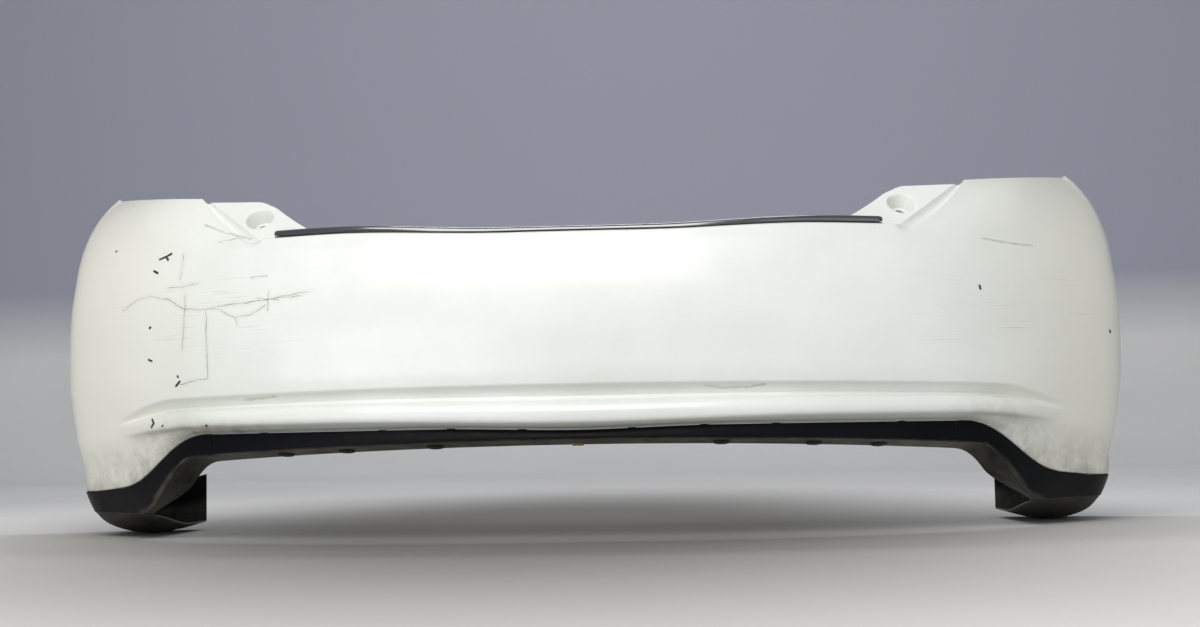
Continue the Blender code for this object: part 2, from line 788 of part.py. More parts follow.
def u_clip(name, origin, along, inward, up, stack, reach, width, material):
    """Folded spring-steel clip over the free edge of a stack of sheets.

    origin is the middle of the stack's free edge at its lower face.
    """
    t = SPRING_STEEL
    c = U_CLEARANCE
    outline = [
        (-reach, -c),
        (c, -c),
        (c, stack + c),
        (-reach, stack + c),
        (-reach, stack + c + t),
        (c + t, stack + c + t),
        (c + t, -c - t),
        (-reach, -c - t),
    ]
    bm = bmesh.new()
    loops = []
    for side in (-0.5, 0.5):
        loop = []
        for forward, height in outline:
            point = origin + along * (side * width) + inward * forward + up * height
            loop.append(bm.verts.new(to_part_frame(point)))
        loops.append(loop)
    count = len(outline)
    for i in range(count):
        k = (i + 1) % count
        bm.faces.new([loops[0][i], loops[0][k], loops[1][k], loops[1][i]])
    for loop in loops:
        bm.faces.new([loop[i] for i in (0, 1, 6, 7)])
        bm.faces.new([loop[i] for i in (1, 2, 5, 6)])
        bm.faces.new([loop[i] for i in (2, 3, 4, 5)])
    bmesh.ops.recalc_face_normals(bm, faces=bm.faces)
    return finish_object(name, bm, material, math.radians(30))


def cell_frame(near_a, near_b, free_a, free_b):
    """Axes of a sheet cell: along its free edge, inward across it, and its upper normal."""
    origin = (free_a + free_b) / 2.0
    along = (free_b - free_a).normalized()
    inward = origin - (near_a + near_b) / 2.0
    inward = (inward - along * inward.dot(along)).normalized()
    up = along.cross(inward)
    if up.z < 0.0:
        up = -up
    return origin, along, inward, up


def flip_x(vector, sign):
    return Vector((vector.x * sign, vector.y, vector.z))


def flange_frame(s):
    """Middle of the trim's lower flange at a clip station, with its outward axis."""
    column = cut_at(trim_stations(), s)[1]
    ahead = cut_at(trim_stations(), s + 0.004)[1]
    centre = (column[7] + column[8]) / 2.0
    along = (ahead[7] - column[7]).normalized()
    across = (column[8] - column[7]).normalized()
    normal = along.cross(across).normalized()
    if normal.z > 0.0:
        normal = -normal
    return centre, normal


def make_push_clips(clip_material, pin_material):
    bore = PIN_RADIUS + BORE_CLEARANCE
    recess = PIN_HEAD_RADIUS + BORE_CLEARANCE
    seat = FIT_GAP
    head_top = seat + CLIP_HEAD
    floor = head_top - PIN_HEAD
    body = [
        (bore, -CLIP_LENGTH),
        (CLIP_SHANK_RADIUS * 0.75, -CLIP_LENGTH),
        (CLIP_SHANK_RADIUS, -CLIP_LENGTH * 0.5),
        (CLIP_SHANK_RADIUS, seat),
        (CLIP_HEAD_RADIUS, seat),
        (CLIP_HEAD_RADIUS - 0.0008, head_top),
        (recess, head_top),
        (recess, floor - BORE_CLEARANCE),
        (bore, floor - BORE_CLEARANCE),
    ]
    pin = [
        (0.0, -CLIP_LENGTH - 0.001),
        (PIN_RADIUS, -CLIP_LENGTH - 0.0002),
        (PIN_RADIUS, floor),
        (PIN_HEAD_RADIUS, floor),
        (PIN_HEAD_RADIUS, head_top),
        (0.0, head_top + 0.0002),
    ]
    for side, sign in (("left", -1.0), ("right", 1.0)):
        for place, station in zip(("outer", "middle", "inner"), clip_stations()):
            centre, axis = flange_frame(station)
            centre = flip_x(centre, sign)
            axis = flip_x(axis, sign)
            turned_object(f"push_clip_{side}_{place}", body, centre, axis, clip_material)
            turned_object(f"clip_pin_{side}_{place}", pin, centre, axis, pin_material, False)


def make_cup_collars(material):
    """Steel collars that the cup screws tighten on."""
    outer = CUP_HOLE_RADIUS - COLLAR_CLEARANCE
    inner = outer - COLLAR_WALL
    gap = FIT_GAP
    profile = [
        (inner, gap + COLLAR_FLANGE),
        (COLLAR_FLANGE_RADIUS, gap + COLLAR_FLANGE),
        (COLLAR_FLANGE_RADIUS, gap),
        (outer, gap),
        (outer, -WALL),
        (inner, -WALL),
    ]
    floor = cup_centre() - EAR_NORMAL * CUP_DEPTH
    for side, sign in (("left", -1.0), ("right", 1.0)):
        turned_object(f"cup_collar_{side}", profile, flip_x(floor, sign),
                      flip_x(EAR_NORMAL, sign), material)


def lip_frame(index):
    """Frame of the painted lip and the trim's wing under it, in the cell after a station."""
    s0, s1 = STATIONS[index][0], STATIONS[index + 1][0]
    lips = [face_rows(s) for s in (s0, s1)]
    return cell_frame(lips[0][-2], lips[1][-2], lips[0][-1], lips[1][-1])


EDGE_CLIP_CELLS = (1, 3, 5, 14)


def make_edge_clips(material):
    """Spring clips that hold each trim's wing to the painted lip."""
    stack = WALL + FIT_GAP + TRIM_WALL
    for number, index in enumerate(EDGE_CLIP_CELLS, start=1):
        origin, along, inward, up = lip_frame(index)
        origin = origin - up * (FIT_GAP + TRIM_WALL)
        for side, sign in (("left", -1.0), ("right", 1.0)):
            u_clip(f"edge_clip_{side}_{number}", flip_x(origin, sign), flip_x(along, sign),
                   flip_x(inward, sign), flip_x(up, sign), stack, EDGE_CLIP_REACH,
                   EDGE_CLIP_WIDTH, material)


def make_centre_nut(material):
    """Zinc-plated nut clip on the middle of the trim's lower flange."""
    column = trim_column(0.0)
    near, free = column[-2], column[-1]
    inward = (free - near).normalized()
    along = Vector((1.0, 0.0, 0.0))
    up = along.cross(inward)
    u_clip("centre_nut_clip", free, along, inward, up, TRIM_WALL, NUT_REACH, NUT_WIDTH, material)


ARCH_NUT_ROWS = (13, 15, 21)


def make_arch_nuts(material):
    """Nut clips on the wheel arch flange, where the liner's screws go in."""
    half = right_half_cover()
    near, free = half[-2], half[-1]
    for place, row in zip(("upper", "middle", "lower"), ARCH_NUT_ROWS):
        origin = (free[row] + free[row + 1]) / 2.0
        along = (free[row + 1] - free[row]).normalized()
        inward = origin - (near[row] + near[row + 1]) / 2.0
        inward = (inward - along * inward.dot(along)).normalized()
        up = along.cross(inward).normalized()
        if up.y > 0.0:
            up = -up
        for side, sign in (("left", -1.0), ("right", 1.0)):
            u_clip(f"arch_nut_{side}_{place}", flip_x(origin, sign), flip_x(along, sign),
                   flip_x(inward, sign), flip_x(up, sign), WALL, ARCH_NUT_REACH,
                   NUT_WIDTH, material)


def build():
    for obj in list(bpy.data.objects):
        bpy.data.objects.remove(obj, do_unlink=True)
    paint = make_material("white_paint", (0.82, 0.84, 0.82), 0.28)
    black = make_material("black_plastic", (0.012, 0.013, 0.016), 0.45)
    rubber = make_material("black_rubber", (0.03, 0.03, 0.03), 0.6)
    foam = make_material("grey_foam_tape", (0.12, 0.12, 0.12), 0.9)
    nylon = make_material("black_nylon", (0.02, 0.02, 0.02), 0.5)
    steel = make_material("spring_steel", (0.35, 0.34, 0.32), 0.35, 1.0)
    zinc = make_material("yellow_zinc", (0.62, 0.46, 0.18), 0.35, 1.0)
    make_bumper_cover(paint)
    make_trim_centre(black)
    make_trim_corner("lower_trim_right", 1.0, black)
    make_trim_corner("lower_trim_left", -1.0, black)
    tape_base = FIT_GAP
    strip_base = tape_base + TAPE_THICKNESS + FIT_GAP
    strip_object("top_strip_tape", foam, tape_base, lambda s: TAPE_THICKNESS, TAPE_MARGIN, False)
    strip_object("top_strip", rubber, strip_base, strip_height, 0.0, True)
    make_cup_collars(steel)
    make_push_clips(nylon, nylon)
    make_edge_clips(steel)
    make_centre_nut(zinc)
    make_arch_nuts(zinc)


build()
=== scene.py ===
import functools
import json
import math

import bmesh
import bpy
from mathutils import Matrix, Vector


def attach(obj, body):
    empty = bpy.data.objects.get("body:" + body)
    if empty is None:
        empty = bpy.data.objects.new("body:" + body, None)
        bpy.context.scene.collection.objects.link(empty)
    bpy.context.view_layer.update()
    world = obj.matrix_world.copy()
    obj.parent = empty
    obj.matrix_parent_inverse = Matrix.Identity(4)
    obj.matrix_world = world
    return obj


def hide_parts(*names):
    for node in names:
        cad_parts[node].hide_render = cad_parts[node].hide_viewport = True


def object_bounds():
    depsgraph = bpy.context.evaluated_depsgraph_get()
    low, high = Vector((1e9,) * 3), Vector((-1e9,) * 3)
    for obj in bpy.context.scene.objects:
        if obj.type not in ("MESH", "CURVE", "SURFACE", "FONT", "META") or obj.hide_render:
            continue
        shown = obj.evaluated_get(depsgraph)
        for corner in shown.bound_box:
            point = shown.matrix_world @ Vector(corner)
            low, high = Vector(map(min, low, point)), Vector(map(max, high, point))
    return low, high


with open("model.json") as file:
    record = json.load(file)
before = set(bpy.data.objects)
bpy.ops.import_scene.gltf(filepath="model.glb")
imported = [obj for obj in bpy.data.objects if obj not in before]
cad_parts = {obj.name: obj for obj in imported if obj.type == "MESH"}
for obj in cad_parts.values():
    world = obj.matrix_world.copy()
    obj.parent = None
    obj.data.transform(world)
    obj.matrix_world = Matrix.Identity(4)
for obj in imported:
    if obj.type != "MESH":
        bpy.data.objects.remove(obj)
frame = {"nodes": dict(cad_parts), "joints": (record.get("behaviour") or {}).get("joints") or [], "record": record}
cad_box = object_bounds()
nodes = frame["nodes"]
bpy.ops.object.select_all(action="DESELECT")


# ---------------------------------------------------------------------------
# Camera, low in front of the rear face and a little to its right, looking
# slightly up at the cover.
# ---------------------------------------------------------------------------
CAMERA_PLACE = Vector((0.145, -2.360, -0.296))
CAMERA_YAW = math.radians(-2.70)
CAMERA_PITCH = math.radians(4.47)
CAMERA_ROLL = math.radians(-1.04)

ahead = Vector((math.sin(CAMERA_YAW) * math.cos(CAMERA_PITCH),
                math.cos(CAMERA_YAW) * math.cos(CAMERA_PITCH),
                math.sin(CAMERA_PITCH)))
level_right = Vector((math.cos(CAMERA_YAW), -math.sin(CAMERA_YAW), 0.0))
level_up = level_right.cross(ahead)
camera_right = level_right * math.cos(CAMERA_ROLL) + level_up * math.sin(CAMERA_ROLL)
camera_up = level_up * math.cos(CAMERA_ROLL) - level_right * math.sin(CAMERA_ROLL)

camera_data = bpy.data.cameras.new("camera")
camera_data.sensor_width = 36.0
camera_data.lens = 50.33
camera = bpy.data.objects.new("camera", camera_data)
bpy.context.scene.collection.objects.link(camera)
turned = Matrix((camera_right, camera_up, -ahead)).transposed().to_4x4()
camera.matrix_world = Matrix.Translation(CAMERA_PLACE) @ turned
bpy.context.scene.camera = camera


# ---------------------------------------------------------------------------
# Pale painted floor that turns up into a plain grey studio wall behind the
# cover. The cover's corners stand just above the floor.
# ---------------------------------------------------------------------------
FLOOR_GAP = 0.002
SHEET_SIZE = 14.0
WALL_AHEAD = 7.00
WALL_HEIGHT = 6.0
COVE_RADIUS = 2.00
COVE_STEPS = 24
TONE_CHANGE = 0.40        # height where the pale floor tone gives way to the wall's
TONE_BLEND = 0.19


def srgb(code):
    """Linear colour of an sRGB hex value."""
    channels = [int(code[i:i + 2], 16) / 255.0 for i in (0, 2, 4)]
    linear = [c / 12.92 if c <= 0.04045 else ((c + 0.055) / 1.055) ** 2.4 for c in channels]
    return (*linear, 1.0)


def set_inputs(tree, node, **inputs):
    """Give inputs a value or another node's socket; n0 means the input numbered 0."""
    for name, value in inputs.items():
        numbered = name[0] == "n" and name[1:].isdigit()
        socket = node.inputs[int(name[1:]) if numbered else name.replace("_", " ")]
        if isinstance(value, bpy.types.NodeSocket):
            tree.links.new(value, socket)
        else:
            socket.default_value = value


def add(tree, kind, settings=None, **inputs):
    """A shader node with its settings and inputs."""
    made = tree.nodes.new("ShaderNode" + kind)
    for name, value in (settings or {}).items():
        setattr(made, name, value)
    set_inputs(tree, made, **inputs)
    return made


def start_material(name):
    """A new material, its node tree and its surface shader."""
    material = bpy.data.materials.new(name)
    material.use_nodes = True
    tree = material.node_tree
    shader = tree.nodes["Principled BSDF"]
    return material, tree, shader


def ramp(tree, factor, stops):
    """Colour ramp whose stops are (place, colour) pairs."""
    made = add(tree, "ValToRGB", Fac=factor)
    elements = made.color_ramp.elements
    while len(elements) < len(stops):
        elements.new(0.5)
    for element, (place, colour) in zip(elements, stops):
        element.position = place
        element.color = colour
    return made.outputs["Color"]


def object_place(tree):
    return add(tree, "TexCoord").outputs["Object"]


# Matt emulsion on board, rolled: almost no gloss, a faint cloudy tone, pale below and grey above,
# with a painted shadow: the floor darkens to a patch under the cover.
studio_paint, tree, shader = start_material("matt_studio_paint")
height = add(tree, "SeparateXYZ", Vector=object_place(tree)).outputs["Z"]
rise = add(tree, "MapRange", Value=height, From_Min=TONE_CHANGE - TONE_BLEND,
           From_Max=TONE_CHANGE + TONE_BLEND).outputs["Result"]
cloud = add(tree, "TexNoise", Vector=object_place(tree), Scale=1.6, Detail=4.0)
pale = ramp(tree, cloud.outputs["Fac"], ((0.3, srgb("F0EFEC")), (0.7, srgb("F6F5F2"))))
# Painted shadow: a darker floor patch under the cover, fading out away from it.
flattened = add(tree, "Mapping", Vector=object_place(tree), Location=(0.04, -0.12, 0.0),
                Scale=(0.60, 0.30, 0.0)).outputs["Vector"]
from_shadow_middle = add(tree, "VectorMath", {"operation": "LENGTH"},
                  n0=flattened).outputs["Value"]
outside_painted_shadow = add(tree, "MapRange", {"interpolation_type": "SMOOTHSTEP"}, Value=from_shadow_middle,
              From_Min=0.16, From_Max=0.78).outputs["Result"]
pale = add(tree, "Mix", {"data_type": "RGBA"}, n0=outside_painted_shadow, n6=srgb("7B7872"), n7=pale)
tone = add(tree, "Mix", {"data_type": "RGBA"}, n0=rise, n6=pale.outputs[2],
           n7=srgb("B4B7C4"))
set_inputs(tree, shader, Base_Color=tone.outputs[2], Roughness=0.9)

# One sheet: the floor turns up into the wall in a wide cove, so no edge shows behind the cover.
floor_height = cad_box[0][2] - FLOOR_GAP
bpy.ops.mesh.primitive_plane_add(
    size=SHEET_SIZE, location=(0.0, WALL_AHEAD - COVE_RADIUS - SHEET_SIZE / 2.0, floor_height))
floor = bpy.context.object
floor.name = "floor_and_wall"
bpy.ops.object.mode_set(mode="EDIT")
sheet = bmesh.from_edit_mesh(floor.data)
bpy.ops.mesh.select_all(action="DESELECT")
bpy.context.tool_settings.mesh_select_mode = (False, True, False)
for edge in sheet.edges:
    edge.select = all(v.co.y > 0.49 * SHEET_SIZE for v in edge.verts)
bmesh.update_edit_mesh(floor.data)
for step in range(COVE_STEPS):
    turn = math.pi / 2.0 * (step + 0.5) / COVE_STEPS
    length = 2.0 * COVE_RADIUS * math.sin(math.pi / 4.0 / COVE_STEPS)
    bpy.ops.mesh.extrude_region_move(TRANSFORM_OT_translate={
        "value": (0.0, length * math.cos(turn), length * math.sin(turn))})
bpy.ops.mesh.extrude_region_move(TRANSFORM_OT_translate={"value": (0.0, 0.0, WALL_HEIGHT)})
bpy.ops.object.mode_set(mode="OBJECT")
bpy.ops.object.transform_apply(location=True, rotation=True, scale=True)
bpy.ops.object.shade_smooth_by_angle(angle=math.radians(30))
floor.data.materials.append(studio_paint)


# ---------------------------------------------------------------------------
# Soft studio light: a large lamp above the camera, a weaker one to its right,
# a low one to its left, one over the cover, one on the wall, and a grey surround.
# ---------------------------------------------------------------------------
LAMPS = (
    ("key_lamp", (-0.6, -2.7, 2.0), (0.0, 0.0, -0.10), (3.0, 1.8), 90.0, "FFFCFA"),
    ("low_lamp", (-1.7, -2.5, -0.05), (-0.2, 0.0, -0.20), (2.4, 0.6), 12.0, "FFFFFF"),
    ("fill_lamp", (2.4, -2.6, 0.5), (0.2, 0.1, -0.15), (2.2, 2.2), 9.0, "F6F8FF"),
    ("wall_lamp", (0.0, 3.2, 3.4), (0.0, 7.0, -0.2), (6.0, 1.5), 45.0, "FFFFFF"),
    ("top_lamp", (0.0, 1.1, 1.6), (0.0, 0.0, 0.0), (1.3, 0.3), 12.0, "F8FAFF"),
)
for name, place, target, (size, size_y), power, colour in LAMPS:
    lamp_data = bpy.data.lights.new(name, "AREA")
    lamp_data.shape = "RECTANGLE"
    lamp_data.size = size
    lamp_data.size_y = size_y
    lamp_data.energy = power
    lamp_data.color = srgb(colour)[:3]
    lamp = bpy.data.objects.new(name, lamp_data)
    bpy.context.scene.collection.objects.link(lamp)
    lamp.location = place
    lamp.rotation_euler = (Vector(target) - Vector(place)).to_track_quat("-Z", "Y").to_euler()
surround = bpy.data.worlds.new("studio_surround")
bpy.context.scene.world = surround
surround.use_nodes = True
surround.node_tree.nodes["Background"].inputs["Color"].default_value = srgb("C9CCD2")
surround.node_tree.nodes["Background"].inputs["Strength"].default_value = 0.47
bpy.context.scene.view_settings.view_transform = "Standard"


# ---------------------------------------------------------------------------
# Bumper cover: one injection-moulded polypropylene skin 3 mm thick, with a
# top ledge, two ears with screw cups, shoulders, a creased lower bulge and
# wheel arch flanges.
# ---------------------------------------------------------------------------
HALF_WIDTH = 0.864
SIDE_DEPTH = 0.600
SIDE_TAPER = 0.120
REAR_POWER = 2.54
REAR_SWEEP = 0.206
CORNER_SHARPNESS = 60.0
FACE_HEIGHT = 0.279
WALL = 0.003
SEAT_FORWARD = 0.060
LEDGE_DEPTH = 0.098
LEDGE_RISE = 0.008
EDGE_INSET = 0.018
STRIP_DEPTH = 0.0125
STRIP_END = HALF_WIDTH - 0.418
EAR_TIP = HALF_WIDTH - 0.498
EAR_FOOT = HALF_WIDTH - 0.400
EAR_TOP_Z = 0.0716
CUP_CENTRE_X = HALF_WIDTH - 0.392
CUP_Z = 0.043
CUP_RADIUS = 0.0208
CUP_FLOOR_RADIUS = 0.0150
CUP_DEPTH = 0.022
CUP_HOLE_RADIUS = 0.0052
ARCH_RADIUS = 0.370
ARCH_AHEAD = 0.270
ARCH_BELOW = 0.061
ARCH_TOP_Z = -0.100
ARCH_FLANGE = 0.022
SIDE_START = 0.200
LIP_INSET = 0.016
LIP_DEPTH = 0.016
EAR_CELLS = 24


def smooth(t):
    """Ease from 0 to 1."""
    t = min(max(t, 0.0), 1.0)
    return t * t * (3.0 - 2.0 * t)


def smoother(t):
    """Ease from 0 to 1 with a steeper middle."""
    t = min(max(t, 0.0), 1.0)
    return t * t * t * (t * (6.0 * t - 15.0) + 10.0)


def from_side(inset):
    return HALF_WIDTH - inset


def plan_x(y):
    """Half width of the cover where it has swept forward by y."""
    rear = 0.70 * (max(y, 1e-9) / REAR_SWEEP) ** (1.0 / REAR_POWER)
    side = HALF_WIDTH - SIDE_TAPER * (SIDE_DEPTH - y)
    return (rear ** -CORNER_SHARPNESS + side ** -CORNER_SHARPNESS) ** (-1.0 / CORNER_SHARPNESS)


@functools.lru_cache(maxsize=None)
def plan_y(x):
    """How far the cover has swept forward at x, found by halving."""
    low, high = 0.0, 2.0 * SIDE_DEPTH
    for _ in range(40):
        middle = (low + high) / 2.0
        if plan_x(middle) < abs(x):
            low = middle
        else:
            high = middle
    return (low + high) / 2.0


def plan_normal(y):
    """Outward normal of the plan curve where it has swept forward by y."""
    behind = max(y - 0.0005, 0.0)
    slope = (plan_x(y + 0.0005) - plan_x(behind)) / (y + 0.0005 - behind)
    return Vector((1.0, -slope, 0.0)).normalized()


def arch_y(z):
    up = z + FACE_HEIGHT + ARCH_BELOW
    return SIDE_DEPTH + ARCH_AHEAD - math.sqrt(ARCH_RADIUS ** 2 - up ** 2)


SIDE_Y = SIDE_DEPTH + ARCH_AHEAD - ARCH_RADIUS - SIDE_START
SIDE_X = plan_x(SIDE_Y)


def ledge_z(s):
    return LEDGE_RISE * smooth((s - 0.1) / (EAR_TIP - 0.11))


def edge_z(s):
    """Height of the crease where the face ends under the ledge and the shoulder."""
    if s > SIDE_X:
        return -0.028 + (ARCH_TOP_Z - 0.030 + 0.028) * (s - SIDE_X)
    fall = smooth((s - from_side(0.244)) / (SIDE_X - from_side(0.244)))
    return -0.010 + 0.004 * smooth((s - EAR_TIP) / 0.1) - 0.022 * fall


def paint_z(s):
    """Height of the painted lower edge."""
    s = min(s, SIDE_X)
    drop = smoother((s - from_side(0.319)) / (0.319 - 0.122))
    late = smooth((s - from_side(0.164)) / 0.110)
    return -FACE_HEIGHT + 0.002 + 0.004 * smooth(s / 0.2) - 0.078 * drop - 0.007 * late


def crease_z(s):
    s = min(s, SIDE_X)
    dip = smooth((s - from_side(0.264)) / 0.150)
    return -FACE_HEIGHT + 0.0635 - 0.004 * (s / 0.5) ** 2 - 0.025 * dip


def ridge_z(s):
    dip = smooth((s - from_side(0.304)) / 0.165)
    return -FACE_HEIGHT + 0.0115 + 0.006 * smooth(s / 0.35) - 0.011 * dip


def feature_strength(s):
    """The crease and the bulge fade out before the side."""
    return 1.0 - smooth((s - from_side(0.244)) / 0.110)


def plain_inset(z):
    """Lean of the corners and sides above and below their widest height."""
    above = max(z + 0.120, 0.0) / 0.140
    below = max(-z - 0.190, 0.0) / 0.160
    return 0.020 * above ** 2 + 0.024 * below ** 1.15


def lip_inset(s):
    return LIP_INSET + 0.010 * smooth((s - from_side(0.264)) / 0.180)


def face_point(s, z, inset):
    """Point of the skin: s is x at the rear, or SIDE_X plus 0 to 1 along the side."""
    lean = 0.018 * smooth((z + 0.150) / 0.120) * smooth((min(s, SIDE_X) - (SIDE_X - 0.160)) / 0.160)
    x = min(s, SIDE_X) + lean
    y = plan_y(x)
    if s > SIDE_X:
        y += (arch_y(z) - y) * (s - SIDE_X)
        x = plan_x(y)
    return Vector((x, y, z)) - plan_normal(y) * inset


def bezier(a, b, c, t):
    return a * (1.0 - t) ** 2 + b * 2.0 * t * (1.0 - t) + c * t * t


def smooth_run(points, cells):
    """Smooth curve through points, with cells[k] steps between point k and the next."""
    lengths = [(b - a).length for a, b in zip(points, points[1:])]
    ways = [(b - a) / length for a, b, length in zip(points, points[1:], lengths)]
    tangents = [ways[0]]
    for k in range(1, len(points) - 1):
        near, far = lengths[k - 1], lengths[k]
        tangents.append((ways[k - 1] * far + ways[k] * near) / (near + far))
    tangents.append(ways[-1])
    run = []
    for k, count in enumerate(cells):
        for i in range(count):
            t = i / count
            run.append(points[k] * (1.0 + 2.0 * t) * (1.0 - t) ** 2
                       + points[k + 1] * t * t * (3.0 - 2.0 * t)
                       + tangents[k] * (lengths[k] * t * (1.0 - t) ** 2)
                       - tangents[k + 1] * (lengths[k] * t * t * (1.0 - t)))
    run.append(points[-1])
    return run


EAR_NORMAL = Vector((0.11, -0.74, 0.67)).normalized()
EAR_FOOT_PLACE = face_point(EAR_FOOT, LEDGE_RISE, EDGE_INSET + STRIP_DEPTH + 0.0030)


def ear_point(x, z):
    dx, dz = x - EAR_FOOT_PLACE.x, z - EAR_FOOT_PLACE.z
    return Vector((x, EAR_FOOT_PLACE.y - (EAR_NORMAL.x * dx + EAR_NORMAL.z * dz) / EAR_NORMAL.y, z))


def ear_grid_point(u, v):
    """Point of the ear: u runs outward from its free edge, v from its foot up."""
    tip = Vector((EAR_TIP, LEDGE_RISE))
    foot = Vector((EAR_FOOT, LEDGE_RISE))
    top_in = Vector((from_side(0.402), EAR_TOP_Z))
    top_out = Vector((from_side(0.308), EAR_TOP_Z + 0.004))
    inner = bezier(tip, tip.lerp(top_in, 0.5) + Vector((0.0045, -0.0065)), top_in, v)
    outer = foot.lerp(top_out, v)
    corners = tip.lerp(top_in, v).lerp(foot.lerp(top_out, v), u)
    flat = inner.lerp(outer, u) + tip.lerp(foot, u).lerp(top_in.lerp(top_out, u), v) - corners
    nearness = math.exp(-((u / 0.09) ** 2 + ((1.0 - v) / 0.10) ** 2))
    flat += Vector((0.0036, -0.0030)) * nearness
    return ear_point(flat.x, flat.y)


SHOULDER_START = Vector((from_side(0.292), 0.190, 0.083))
SHOULDER_END = Vector((from_side(0.099), 0.380, 0.111))
SHOULDER_FIRST = EAR_FOOT + 0.012


def shoulder_top(t):
    middle = (SHOULDER_START + SHOULDER_END) / 2.0 + Vector((0.010, -0.030, -0.001))
    top = bezier(SHOULDER_START, middle, SHOULDER_END, t)
    top.z += 0.0030 * smooth((t - 0.955) / 0.02)
    return top


def side_top(m):
    y = SHOULDER_END.y + (arch_y(ARCH_TOP_Z) - SHOULDER_END.y) * m
    tuck = 0.004 + (plan_x(SHOULDER_END.y) - SHOULDER_END.x - 0.004) * (1.0 - m) ** 3
    z = SHOULDER_END.z + (ARCH_TOP_Z - SHOULDER_END.z) * m ** 1.15
    return Vector((plan_x(y) - tuck, y, z))


def upper_edge(s):
    inset = EDGE_INSET
    if s > from_side(0.264):
        inset += (plain_inset(edge_z(s)) - EDGE_INSET) * smooth((s - from_side(0.264)) / 0.180)
    return face_point(s, edge_z(s), inset), inset


def rounded_edge(s):
    """Rows that round the ledge over into the face."""
    z = ledge_z(s)
    rows = ((0.0055, 0.0), (0.0034, 0.0005), (0.0018, 0.0016), (0.0007, 0.0034), (0.0002, 0.0056))
    return [face_point(s, z - down, EDGE_INSET + back) for back, down in rows]


def ledge_band(s):
    depths = [LEDGE_DEPTH + (0.036 - LEDGE_DEPTH) * j / EAR_CELLS for j in range(EAR_CELLS + 1)]
    return [face_point(s, ledge_z(s), depth) for depth in depths] + rounded_edge(s)


def ear_band(s):
    u = (s - EAR_TIP) / (EAR_FOOT - EAR_TIP)
    return [ear_grid_point(u, 1.0 - j / EAR_CELLS) for j in range(EAR_CELLS + 1)] + rounded_edge(s)


SHOULDER_SHARES = [0.12 + 0.88 * (1.0 - j / EAR_CELLS) for j in range(EAR_CELLS + 1)]
SHOULDER_SHARES += [0.09, 0.068, 0.047, 0.028, 0.012]


def shoulder_band(s):
    """Rows of the shoulder or the side, from the free top edge to the crease."""
    edge = upper_edge(s)[0]
    bow = 0.0
    if s <= SIDE_X:
        t = (s - SHOULDER_FIRST) / (SIDE_X - SHOULDER_FIRST)
        top = shoulder_top(t)
        flatness = 0.55 * (1.0 - smooth(t / 0.55))
        bow = (1.0 - smooth(t / 0.30))
    else:
        top = side_top(s - SIDE_X)
        flatness = 0.0
    out = plan_normal(edge.y) * 0.7 + Vector((0.0, 0.0, 0.7))
    along = Vector((out.y, -out.x, 0.0)).normalized() * -1.0
    points = []
    for share in SHOULDER_SHARES:
        arch = 4.0 * share * (1.0 - share)
        lift = 0.10 * (top - edge).length * arch * (1.0 - 2.2 * flatness)
        slide = 0.011 * bow * arch ** 1.2
        points.append(edge + (top - edge) * share + out * lift + along * slide)
    return points


RAMP_CELLS = 14
RAMP_SAG = 0.0060


def face_run(s):
    """Height and inset of the face from its upper crease down to the painted edge."""
    edge, edge_inset = upper_edge(s)
    top = edge_z(s)
    crease, ridge, low = crease_z(s), ridge_z(s), paint_z(s)
    k = feature_strength(s)
    side = smooth((s - from_side(0.264)) / 0.180)
    middle = crease + 0.048
    rows = [Vector((top, edge_inset))]
    for share, inset in ((0.18, 0.0110), (0.42, 0.0045), (0.70, 0.0008), (1.0, 0.0)):
        z = top + (middle - top) * share
        rows.append(Vector((z, inset + (plain_inset(z) - inset) * side)))
    drop = crease - ridge
    for z, inset in ((crease + 0.0050, 0.0006), (crease + 0.0008, 0.0014),
                     (crease - 0.0016, 0.0034), (crease - drop * 0.27, 0.0160),
                     (crease - drop * 0.30, 0.0168), (crease - drop * 0.33, 0.0158),
                     (crease - drop * 0.52, -0.0010), (crease - drop * 0.85, -0.0050),
                     (ridge, -0.0030), (ridge - 0.0022, -0.0004), (ridge - 0.0044, 0.0030)):
        rows.append(Vector((z, inset * k + plain_inset(z) * (1.0 - k))))
    half = (ridge - 0.0044 + low) / 2.0
    rows.append(Vector((half, 0.0090 * k + (plain_inset(half) + lip_inset(s)) / 2.0 * (1.0 - k))))
    rows.append(Vector((low + 0.0015, lip_inset(s) - 0.0004)))
    return smooth_run(rows, (4, 6, 7, 7, 5, 3, 2, 5, 2, 2, 5, 5, 4, 2, 2, 3, 3))


def face_rows(s):
    """Points of the face, then the return lip of the painted lower edge."""
    points = [face_point(s, row.x, row.y) for row in face_run(s)]
    low = paint_z(s)
    for down, back in ((0.0006, 0.0004), (0.0, 0.0020), (0.0, 0.0080), (0.0, LIP_DEPTH)):
        points.append(face_point(s, low + down, lip_inset(s) + back))
    return points


def spread(first, last, count):
    return [first + (last - first) * i / count for i in range(count + 1)]


LEDGE_COLUMNS = spread(0.0, EAR_TIP - 0.006, 56)
EAR_COLUMNS = spread(EAR_TIP, EAR_FOOT, EAR_CELLS)
SHOULDER_COLUMNS = spread(SHOULDER_FIRST, SIDE_X, 56)
SIDE_COLUMNS = [SIDE_X + m for m in spread(0.0, 1.0, 30)[1:]]


